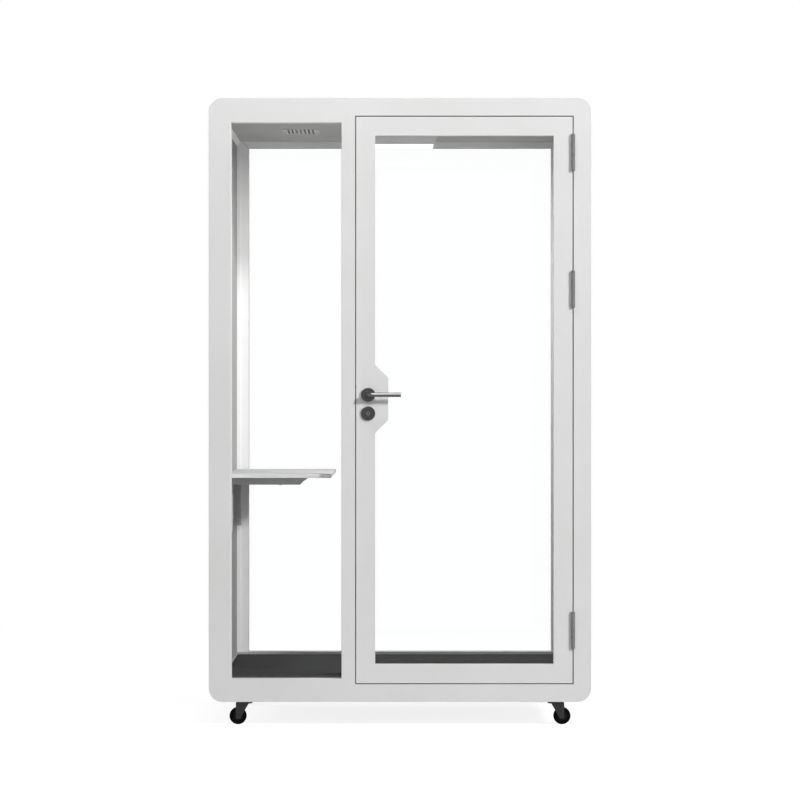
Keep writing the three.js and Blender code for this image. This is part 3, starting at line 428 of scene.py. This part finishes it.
def deselectAll():
    if bpy.context.mode != "OBJECT":
        bpy.ops.object.mode_set(mode="OBJECT")
    bpy.ops.object.select_all(action="DESELECT")


def block(size, place=(0, 0, 0), turn=0):
    deselectAll()
    bpy.ops.mesh.primitive_cube_add(size=1, location=place, rotation=(0, 0, turn))
    made = bpy.context.object
    made.scale = size
    bpy.ops.object.transform_apply()
    return made


def roundBar(radius, length, place, sides):
    deselectAll()
    bpy.ops.mesh.primitive_cylinder_add(vertices=sides, radius=radius, depth=length, location=place)
    bpy.ops.object.transform_apply()
    return bpy.context.object


# Turns a profile of (radius, height) points round +Z: solid, or open in the middle where it is hollow
def turnedPiece(name, settings, hollow=False):
    deselectAll()
    radius, height = settings["profile"][0]
    bpy.ops.mesh.primitive_circle_add(vertices=settings["sides"], radius=radius, location=(0, 0, height),
                                      fill_type="NOTHING" if hollow else "NGON")
    piece = bpy.context.object
    piece.name = name
    bpy.ops.object.transform_apply()
    bpy.ops.object.mode_set(mode="EDIT")
    bpy.ops.mesh.select_all(action="SELECT")
    for nextRadius, nextHeight in settings["profile"][1:]:
        bpy.ops.mesh.extrude_region_move(TRANSFORM_OT_translate={"value": (0, 0, nextHeight - height)})
        change = nextRadius / radius
        bpy.ops.transform.resize(value=(change, change, 1))
        radius, height = nextRadius, nextHeight
    if hollow:
        bpy.ops.mesh.select_all(action="SELECT")
        bpy.ops.mesh.region_to_loop()
        bpy.ops.mesh.bridge_edge_loops()
    bpy.ops.mesh.select_all(action="SELECT")
    bpy.ops.mesh.normals_make_consistent(inside=False)
    bpy.ops.object.mode_set(mode="OBJECT")
    return piece


# Goes to edit mode with only the wanted faces selected
def pickFaces(piece, wanted):
    bpy.ops.object.mode_set(mode="EDIT")
    bpy.ops.mesh.select_all(action="DESELECT")
    bpy.ops.object.mode_set(mode="OBJECT")
    for face in piece.data.polygons:
        face.select = wanted(face)
    bpy.ops.object.mode_set(mode="EDIT")


def useModifier(piece, kind, settings):
    deselectAll()
    piece.select_set(True)
    bpy.context.view_layer.objects.active = piece
    added = piece.modifiers.new(kind.lower(), kind)
    for key, value in settings.items():
        setattr(added, key, value)
    bpy.ops.object.modifier_apply(modifier=added.name)


def combine(piece, other, operation):
    useModifier(piece, "BOOLEAN", {"object": other, "operation": operation, "solver": "EXACT"})
    bpy.data.objects.remove(other)


def finishPiece(piece, name, body, material):
    deselectAll()
    piece.select_set(True)
    bpy.context.view_layer.objects.active = piece
    bpy.ops.object.transform_apply()
    bpy.ops.object.shade_smooth_by_angle(angle=math.radians(handwork["smoothAngle"]))
    piece.name = name
    piece.data.name = name
    piece.data.materials.clear()
    piece.data.materials.append(material)
    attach(piece, body)


# Puts copies of one model at several places, as one piece that rides a body
def setOut(model, name, places, body, material):
    deselectAll()
    copies = []
    for place in places:
        copy = model.copy()
        copy.data = model.data.copy()
        bpy.context.collection.objects.link(copy)
        copy.data.transform(place)
        copy.select_set(True)
        copies.append(copy)
    bpy.context.view_layer.objects.active = copies[0]
    if len(copies) > 1:
        bpy.ops.object.join()
    finishPiece(bpy.context.object, name, body, material)


# A place for a model whose axis is +Z: moved there, and turned to point along a direction
def facing(direction, x, y, z, roll=0):
    turn = Vector(direction).to_track_quat("Z", "Y").to_matrix().to_4x4()
    return Matrix.Translation((x, y, z)) @ turn @ Matrix.Rotation(roll, 4, "Z")


def middle(box):
    return (box[0] + box[1]) / 2


# Countersunk screw: a flat crown that stands a hair proud, with a cross cut in it
crossScrew = {
    "profile": [(0.00264, -0.0006), (0.0033, 0.0), (0.003168, 0.00022), (0.00264, 0.00036),
                (0.00132, 0.0004)],
    "sides": 24, "slot": (0.0042, 0.0009, 0.0016),
}
screw = turnedPiece("cross_screw", crossScrew)
screwTop = crossScrew["profile"][-1][1]
for turn in (0, math.pi / 2):
    combine(screw, block(crossScrew["slot"], (0, 0, screwTop), turn), "DIFFERENCE")

# Button-head bolt: a domed crown with a six-sided socket
socketBolt = {
    "profile": [(0.00432, -0.0002), (0.0048, 0.0), (0.0048, 0.00078), (0.00432, 0.00169), (0.00336, 0.00234),
                (0.00216, 0.0026)],
    "sides": 24, "socket": 0.0021, "socketLength": 0.0028, "socketSides": 6,
}
bolt = turnedPiece("socket_bolt", socketBolt)
boltTop = socketBolt["profile"][-1][1]
socketSize = (socketBolt["socket"], socketBolt["socketLength"])
combine(bolt, roundBar(*socketSize, (0, 0, boltTop), socketBolt["socketSides"]), "DIFFERENCE")
print("fasteners modelled")

# Strike plate, lock face, hinge leaves and grille: their screws
screwEnds = {
    "strikeLow": 0.0096, "strikeHigh": 0.0099, "strikeRolls": (0.3, 1.1),
    "lock": 0.0075, "lockRolls": (0.6, 0.2), "grille": 0.0085,
    "hingeRows": (-0.052, 0.0, 0.052), "hingeInset": 0.0105, "hingeStep": 0.005, "hingeRoll": 0.5,
}
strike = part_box("strike_plate")
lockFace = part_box("lock_case")
lockDepth = middle(strike).y
strikeHeights = (strike[0].z + screwEnds["strikeLow"], strike[1].z - screwEnds["strikeHigh"])
lockHeights = (lockFace[0].z + screwEnds["lock"], lockFace[1].z - screwEnds["lock"])
setOut(screw, "strike_screws", [
    facing((1, 0, 0), strike[1].x, lockDepth, height, roll)
    for height, roll in zip(strikeHeights, screwEnds["strikeRolls"])],
    "cabin", satinSteel)
setOut(screw, "lock_face_screws", [
    facing((-1, 0, 0), lockFace[0].x, lockDepth, height, roll)
    for height, roll in zip(lockHeights, screwEnds["lockRolls"])],
    "door", satinSteel)


def hingeScrewPlaces(direction, x):
    places = []
    for hinge in hinges:
        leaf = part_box("hinge_door_leaf_" + hinge)
        for index, row in enumerate(screwEnds["hingeRows"]):
            depth = leaf[1].y - screwEnds["hingeInset"] - (index % 2) * screwEnds["hingeStep"]
            places.append(facing(direction, x, depth, middle(leaf).z + row, screwEnds["hingeRoll"] * index))
    return places


doorGap = 0.0035  # between the door leaf and the frame, all round
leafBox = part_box("door_frame")
leafEdge = leafBox[1].x
jambScrews = hingeScrewPlaces((-1, 0, 0), leafEdge + doorGap)
setOut(screw, "hinge_frame_screws", jambScrews, "cabin", satinSteel)
setOut(screw, "hinge_door_screws", hingeScrewPlaces((1, 0, 0), leafEdge), "door", satinSteel)
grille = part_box("vent_grille")
margin = screwEnds["grille"]
setOut(screw, "grille_screws", [
    facing((0, 0, -1), x, y, grille[0].z, x + y)
    for x in (grille[0].x + margin, grille[1].x - margin)
    for y in (grille[0].y + margin, grille[1].y - margin)],
    "cabin", satinSteel)

# Desk bracket: two bolts through each leg to the wall, and two up into the desk top from each arm
bracketBolts = {
    "arm": 0.015, "leg": 0.0231, "legRise": (0.018, 0.098), "legRoll": 30,
    "armReach": (0.07, 0.2), "armHeight": 0.027, "armRoll": 9,
}
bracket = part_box("desk_bracket")
armDepths = (bracket[0].y + bracketBolts["arm"], bracket[1].y - bracketBolts["arm"])
legFace = bracket[0].x + bracketBolts["leg"]
armBottom = bracket[1].z - bracketBolts["armHeight"]
boltPlaces = []
for depth in armDepths:
    for rise in bracketBolts["legRise"]:
        roll = rise * bracketBolts["legRoll"]
        boltPlaces.append(facing((1, 0, 0), legFace, depth, bracket[0].z + rise, roll))
    for reach in bracketBolts["armReach"]:
        roll = reach * bracketBolts["armRoll"]
        boltPlaces.append(facing((0, 0, -1), bracket[0].x + reach, depth, armBottom, roll))
setOut(bolt, "bracket_bolts", boltPlaces, "cabin", satinSteel)

# Bracket shoes: a bar bolted down the face of each leg, hooked under the leg's foot to the wall
shoe = {"thick": 0.013, "wide": 0.030, "leg": 0.010, "drop": 0.043, "ease": 0.0015, "seat": 0.0001}
legHeight = armBottom - bracket[0].z
shoeBar = block(
    (shoe["thick"], shoe["wide"], legHeight + shoe["drop"] - shoe["seat"] * 2),
    (shoe["leg"] + shoe["seat"] + shoe["thick"] / 2, 0, (legHeight - shoe["drop"]) / 2))
bpy.ops.object.mode_set(mode="EDIT")
bpy.ops.mesh.select_all(action="SELECT")
bpy.ops.mesh.bisect(plane_co=(0, 0, -shoe["seat"]), plane_no=(0, 0, 1))
pickFaces(shoeBar, lambda face: face.normal.x < -handwork["squareOn"] and face.center.z < 0)
bpy.ops.mesh.extrude_region_move(TRANSFORM_OT_translate={"value": (-shoe["leg"], 0, 0)})
bpy.ops.mesh.select_all(action="SELECT")
bpy.ops.mesh.normals_make_consistent(inside=False)
bpy.ops.object.mode_set(mode="OBJECT")
useModifier(shoeBar, "BEVEL", {"width": shoe["ease"], "segments": 3})
shoePlaces = [Matrix.Translation((bracket[0].x, depth, bracket[0].z)) for depth in armDepths]
# The shoes take the mid-grey coat, which is partly painted shade under the desk
setOut(shoeBar, "bracket_shoes", shoePlaces, "cabin", bracketSteel)
print("desk bracket bolted")

# Casters: plate bolts, a raceway ring round each swivel, a cap in each side of the wheels
# and a nut on each axle end
plateBolts = {"spread": 0.0245, "plateThick": 0.0037, "roll": 40}
raceRing = {
    "profile": [(0.0285, 0.0775), (0.02942, 0.0775), (0.0297, 0.0782), (0.0297, 0.0808), (0.02942, 0.0815),
                (0.0285, 0.0815)],
    "sides": 40,
}
wheelCap = {
    "profile": [(0.0046, 0.0), (0.0192, 0.0), (0.0192, 0.0014), (0.0184, 0.0021), (0.0166, 0.0021),
                (0.0156, 0.0011), (0.0105, 0.0008), (0.0092, 0.0019), (0.0082, 0.0024), (0.0052, 0.0024),
                (0.0046, 0.002)],
    "sides": 40, "seat": 0.0081,
}
axleNut = {
    "profile": [(0.0046, -0.0002), (0.0046, 0.0016), (0.004048, 0.0022), (0.00253, 0.0022), (0.0023, 0.003),
                (0.00138, 0.0034)],
    "sides": 6, "seat": 0.0185, "roll": 0.4,
}
race = turnedPiece("race_ring", raceRing, hollow=True)
cap = turnedPiece("wheel_cap", wheelCap, hollow=True)
nut = turnedPiece("axle_nut", axleNut)
for corner in corners:
    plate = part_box("caster_plate_" + corner)
    swivel = middle(plate)
    hub = middle(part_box("caster_wheel_" + corner))
    boltSeat = plate[1].z - plateBolts["plateThick"]
    spread = (-plateBolts["spread"], plateBolts["spread"])
    setOut(bolt, "plate_bolts_" + corner, [
        facing((0, 0, -1), swivel.x + x, swivel.y + y, boltSeat, x * plateBolts["roll"])
        for x in spread for y in spread], "cabin", satinSteel)
    setOut(race, "race_ring_" + corner, [Matrix.Translation((swivel.x, swivel.y, 0))],
           "swivel_" + corner, forkSteel)
    setOut(cap, "wheel_caps_" + corner, [
        facing((0, side, 0), hub.x, swivel.y + side * wheelCap["seat"], hub.z) for side in (-1, 1)],
        "wheel_" + corner, hubPlastic)
    setOut(nut, "axle_nuts_" + corner, [
        facing((0, side, 0), hub.x, swivel.y + side * axleNut["seat"], hub.z, axleNut["roll"])
        for side in (-1, 1)],
        "swivel_" + corner, forkSteel)
print("casters fitted")

# Lever collars: a thin raised ring on each rose, round the lever's neck
leverCollar = {
    "profile": [(0.0084, -0.0003), (0.0135, -0.0003), (0.0133, 0.0008), (0.0123, 0.0016), (0.0092, 0.0016),
                (0.0084, 0.00096)],
    "sides": 48,
}
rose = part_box("outer_rose")
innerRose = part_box("inner_rose")
spindle = middle(rose)
collar = turnedPiece("lever_collar", leverCollar, hollow=True)
setOut(collar, "lever_collars", [
    facing((0, -1, 0), spindle.x, rose[0].y, spindle.z),
    facing((0, 1, 0), spindle.x, innerRose[1].y, spindle.z)],
    "door", roseMetal)

# Mitre joints of the rear glazing bead: a dark hairline across each corner
mitre = {
    "length": 0.0425, "width": 0.0009, "proud": 0.00025, "ease": 0.000125,
    "beadStep": 0.002, "beadWidth": 0.031, "rebate": 0.010,
}
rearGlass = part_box("rear_glass")
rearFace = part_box("rear_frame")[0].y + mitre["beadStep"]
hairline = block((mitre["length"], mitre["proud"] * 2, mitre["width"]))
useModifier(hairline, "BEVEL", {"width": mitre["ease"], "segments": 1})
inset = mitre["rebate"] - mitre["beadWidth"] / 2
mitrePlaces = []
for x, slantX in ((rearGlass[0].x + inset, 1), (rearGlass[1].x - inset, -1)):
    for z, slantZ in ((rearGlass[0].z + inset, 1), (rearGlass[1].z - inset, -1)):
        slant = Matrix.Rotation(-slantX * slantZ * math.pi / 4, 4, "Y")
        mitrePlaces.append(Matrix.Translation((x, rearFace, z)) @ slant)
setOut(hairline, "bead_mitres", mitrePlaces, "cabin", sealRubber)
print("handle and bead trimmed")

# Black rubber rings in the gap round the door, one on the frame and one on the leaf, each a thin picture-frame
# ring set just inside the gap's face: partly seals, partly painted shade that darkens the gap line
gapShadeSeal = {"thick": 0.0012, "front": 0.0006, "depth": 0.006}
ringEase = 0.0002


# The ring follows a box seen from the front, grown by a distance or shrunk where that is negative
def blackRing(name, box, front, depth, outside, thick, body):
    low, high = box
    place = (middle(box).x, front, middle(box).z)
    deselectAll()
    bpy.ops.mesh.primitive_plane_add(size=1, location=place, rotation=(math.pi / 2, 0, 0))
    ring = bpy.context.object
    ring.scale = (high.x - low.x + 2 * outside, high.z - low.z + 2 * outside, 1)
    bpy.ops.object.transform_apply()
    bpy.ops.object.mode_set(mode="EDIT")
    bpy.ops.mesh.select_all(action="SELECT")
    bpy.ops.mesh.inset(thickness=thick)
    bpy.ops.mesh.delete(type="FACE")
    bpy.ops.mesh.select_all(action="SELECT")
    bpy.ops.mesh.extrude_region_move(TRANSFORM_OT_translate={"value": (0, depth, 0)})
    bpy.ops.mesh.select_all(action="SELECT")
    bpy.ops.mesh.normals_make_consistent(inside=False)
    bpy.ops.object.mode_set(mode="OBJECT")
    useModifier(ring, "BEVEL", {"width": ringEase, "segments": 1})
    finishPiece(ring, name, body, sealRubber)


shadeSealFront = leafBox[0].y + gapShadeSeal["front"]
blackRing("frame_gap_shade_seal", leafBox, shadeSealFront, gapShadeSeal["depth"], doorGap, gapShadeSeal["thick"], "cabin")
blackRing("leaf_gap_shade_seal", leafBox, shadeSealFront, gapShadeSeal["depth"], gapShadeSeal["thick"], gapShadeSeal["thick"], "door")

# A black line on the pane, round the inside of its frame: painted shade that stands in for the shaded inner
# edge of the frame round the pane
paneShadeLine = {"width": 0.0012, "depth": 0.003, "seat": 0.0001}
shadeLineEdge = -mitre["rebate"] - paneShadeLine["seat"]
shadeLineFront = rearGlass[0].y - paneShadeLine["seat"] - paneShadeLine["depth"]
blackRing("pane_shade_line", rearGlass, shadeLineFront, paneShadeLine["depth"], shadeLineEdge, paneShadeLine["width"], "cabin")
print("door gap and rear pane sealed")

# Inside corners: a grooved strip on each cove under the ceiling, a skirting on the carpet along each wall,
# and a sill strip along the carpet's back edge. The cove strips take the paler white coat, painted light; the
# skirting and the sill take the mid-grey coat, partly their own grey and partly painted shade along the floor
strips = {
    "coveWidth": 0.014, "coveHeight": 0.019, "coveTrim": 0.0015, "coveThick": 0.0012, "coveGroove": 0.004,
    "skirtHeight": 0.010, "skirtThick": 0.003, "skirtGroove": 0.002, "reveal": 0.0015,
    "grooveShare": 0.3, "easeShare": 0.2, "seat": 0.0001,
}
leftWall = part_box("left_wall_lining")
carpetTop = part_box("carpet")[1].z


def stripModel(name, width, thick, length, groove):
    strip = block((width, length, thick))
    strip.name = name
    pickFaces(strip, lambda face: face.normal.z > handwork["squareOn"])
    bpy.ops.mesh.inset(thickness=groove, depth=-thick * strips["grooveShare"])
    bpy.ops.object.mode_set(mode="OBJECT")
    useModifier(strip, "BEVEL", {"width": thick * strips["easeShare"], "segments": 2})
    return strip


# A place for a strip that runs along +Y, with its grooved face turned outwards
def alongDepth(point, outward):
    along = Vector((0, 1, 0))
    return Matrix.Translation(point) @ Matrix((along.cross(outward), along, outward)).transposed().to_4x4()


wallSpan = leftWall[1].y - leftWall[0].y
wallDepth = middle(leftWall).y
wallFace = -leftWall[1].x + strips["coveWidth"]  # from the middle of the pod to either wall
coveSlope = math.hypot(strips["coveWidth"], strips["coveHeight"])
coveSize = coveSlope - strips["coveTrim"]
coveStrip = stripModel("cove_strip", coveSize, strips["coveThick"], wallSpan, strips["coveGroove"])
skirtSection = (strips["skirtHeight"], strips["skirtThick"])
skirtStrip = stripModel("skirt_strip", *skirtSection, wallSpan, strips["skirtGroove"])
covePlaces = []
skirtPlaces = []
for side in (-1, 1):
    coveX = side * (wallFace - strips["coveWidth"] / 2)
    covePoint = Vector((coveX, wallDepth, leftWall[1].z - strips["coveHeight"] / 2))
    outward = Vector((-side * strips["coveHeight"], 0, -strips["coveWidth"])).normalized()
    lift = outward * (strips["coveThick"] / 2 + strips["seat"])
    covePlaces.append(alongDepth(covePoint + lift, outward))
    skirtX = side * (wallFace - strips["skirtThick"] / 2 - strips["seat"])
    skirtZ = carpetTop + strips["skirtHeight"] / 2 + strips["seat"]
    skirtPlaces.append(alongDepth(Vector((skirtX, wallDepth, skirtZ)), Vector((-side, 0, 0))))
setOut(coveStrip, "cove_strips", covePlaces, "cabin", brightenedSteel)
setOut(skirtStrip, "skirting_strips", skirtPlaces, "cabin", bracketSteel)
sillHeight = rearGlass[0].z + mitre["rebate"] - carpetTop - strips["reveal"]
sillLength = 2 * (wallFace - strips["skirtThick"] - strips["seat"] * 2)
sillSection = (sillHeight, strips["skirtThick"])
sillStrip = stripModel("sill_strip_model", *sillSection, sillLength, strips["skirtGroove"])
sillY = rearFace - strips["skirtThick"] / 2 - strips["seat"]
sillZ = carpetTop + sillHeight / 2 + strips["seat"]
sillTurn = Matrix(((0, 0, -1), (1, 0, 0), (0, -1, 0))).transposed().to_4x4()
sillPlace = Matrix.Translation((0, sillY, sillZ)) @ sillTurn
setOut(sillStrip, "sill_strip", [sillPlace], "cabin", bracketSteel)
print("inside strips fitted")

# Key cylinder: a black ring that follows the cylinder's outline, painted shade standing in for the shaded gap
# round the cylinder, and a bright ring round the plug
keyhole = {
    "round": 0.0098, "roundSides": 48, "fin": 0.0063, "finSides": 32, "drop": 0.0195,
    "band": 0.0012, "proud": 0.0006,
}
plugBand = {
    "profile": [(0.0052, -0.0003), (0.0061, -0.0003), (0.0061, 0.0002), (0.00574, 0.0005), (0.00547, 0.0005),
                (0.0052, 0.0002)],
    "sides": 40,
}
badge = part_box("outer_escutcheon")
plug = middle(badge)


def outlinePrism(grow, thick):
    half = keyhole["fin"] + grow
    prism = roundBar(keyhole["round"] + grow, thick, (0, 0, 0), keyhole["roundSides"])
    fin = block((half * 2, keyhole["drop"], thick), (0, -keyhole["drop"] / 2, 0))
    combine(prism, fin, "UNION")
    foot = roundBar(half, thick, (0, -keyhole["drop"], 0), keyhole["finSides"])
    combine(prism, foot, "UNION")
    return prism


cylinderShadeRing = outlinePrism(0, keyhole["proud"] * 2)
combine(cylinderShadeRing, outlinePrism(-keyhole["band"], keyhole["proud"] * 6), "DIFFERENCE")
cylinderShadePlace = facing((0, -1, 0), plug.x, badge[0].y, plug.z)
setOut(cylinderShadeRing, "cylinder_gap_shade", [cylinderShadePlace], "door", sealRubber)
plugRing = turnedPiece("plug_ring_model", plugBand, hollow=True)
plugPlace = facing((0, -1, 0), plug.x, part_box("key_cylinder")[0].y, plug.z)
setOut(plugRing, "plug_ring", [plugPlace], "door", satinSteel)
print("key cylinder trimmed")

models = [
    screw, bolt, shoeBar, race, cap, nut, collar, hairline, coveStrip, skirtStrip, sillStrip,
    cylinderShadeRing, plugRing,
]
for model in models:
    bpy.data.objects.remove(model)
print("models cleared:", len(models))

# Camera: straight on, level with the middle of the pod's face, far enough for the photo's mild perspective
view = {"height": 1.195, "distance": 14.27, "lens": 175.5, "sensor": 36, "sight": 200}
cameraPlace = (0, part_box("front_frame")[0].y - view["distance"], view["height"])
bpy.ops.object.camera_add(location=cameraPlace, rotation=(math.pi / 2, 0, 0))
camera = bpy.context.object
camera.data.lens = view["lens"]
camera.data.sensor_width = view["sensor"]
camera.data.clip_end = view["sight"]
bpy.context.scene.camera = camera

# Studio: a white floor that keeps a faint shadow, a key from the right, a soft fill by the camera, a lamp
# overhead, one behind, a softbox that only shows as a sheen, and the light of the pod's own ceiling lamp
studio = {
    "floor": 60, "floorColour": 0.4, "floorBounce": 0.6, "floorLift": 0.84, "near": 2.2, "far": 6.0,
    "world": 0.11, "panelGap": 0.002,
}
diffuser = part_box("light_diffuser")
panelX, panelY, _ = middle(diffuser)
lamps = {
    "key": {"place": (8.95, -9.5, 5.9), "size": 1.5, "power": 1180, "aim": (0, 0, 1.2)},
    "fill": {"place": (1.0, -11.5, 1.2), "size": 3.5, "power": 122, "aim": (0, 0, 1.2)},
    "overhead": {"place": (-0.5, -1.9, 4.4), "size": 1.1, "power": 22.5, "aim": (0, -0.6, 1.2),
                 "sheen": True},
    "back": {"place": (-6.5, 7.5, 3.2), "size": 3.0, "power": 420, "aim": (0, 0, 1.2)},
    "softbox": {"place": (-0.15, -4.5, 5.7), "size": 4.6, "power": 540, "aim": (-0.15, -0.7, 1.06),
                "sheen": True, "diffuse": False},
    "panel": {"place": (panelX, panelY, diffuser[0].z - studio["panelGap"]), "size": 0.26, "power": 9.6,
              "aim": (panelX, panelY, 0)},
}


def seenDirectly(place):
    path = place.tree.nodes.new("ShaderNodeLightPath")
    rays = ("Is Camera Ray", "Is Glossy Ray", "Is Transmission Ray")
    straight, mirrored, through = [Wire(place.tree, path.outputs[ray]) for ray in rays]
    settings = {"operation": "ADD", "use_clamp": True}
    return place.node("ShaderNodeMath", settings, {0: straight + mirrored, 1: through})


bpy.ops.mesh.primitive_plane_add(size=studio["floor"], location=(0, 0, 0))
ground = bpy.context.object
ground.name = "ground"
groundPaint, place = newPaint("ground_paint")
seen = seenDirectly(place)
tone = seen * (studio["floorColour"] - studio["floorBounce"]) + studio["floorBounce"]
matt = place.node("ShaderNodeBsdfDiffuse", None, {"Color": tone})
lift = place.node("ShaderNodeEmission", None, {"Strength": seen * studio["floorLift"]})
shadowed = place.node("ShaderNodeAddShader", None, {0: matt, 1: lift})
away = place.node("ShaderNodeVectorMath", {"operation": "LENGTH"}, {0: place}, out="Value")
reach = place.node("ShaderNodeMapRange", {"interpolation_type": "SMOOTHSTEP"}, {
    "Value": away, "From Min": studio["near"], "From Max": studio["far"]})
white = place.node("ShaderNodeEmission", None, {"Strength": 1.0})
both = place.node("ShaderNodeMixShader", None, {0: reach * seen, 1: shadowed, 2: white})
place.node("ShaderNodeOutputMaterial", None, {"Surface": both})
ground.data.materials.append(groundPaint)

world = bpy.data.worlds.new("studio_world")
bpy.context.scene.world = world
world.use_nodes = True
world.node_tree.nodes.clear()
air = Wire(world.node_tree)
level = seenDirectly(air) * (1 - studio["world"]) + studio["world"]
backdrop = air.node("ShaderNodeBackground", None, {"Color": (1, 1, 1, 1), "Strength": level})
air.node("ShaderNodeOutputWorld", None, {"Surface": backdrop})

for name, settings in lamps.items():
    bpy.ops.object.light_add(type="AREA", location=settings["place"])
    lamp = bpy.context.object
    lamp.name = name
    lamp.data.shape = "DISK"
    lamp.data.size = settings["size"]
    lamp.data.energy = settings["power"]
    aim = Vector(settings["aim"]) - lamp.location
    lamp.rotation_euler = aim.to_track_quat("-Z", "Y").to_euler()
    lamp.visible_glossy = settings.get("sheen", False)
    lamp.visible_diffuse = settings.get("diffuse", True)
    lamp.visible_camera = False
bpy.context.scene.view_settings.view_transform = "Standard"
print("studio set")
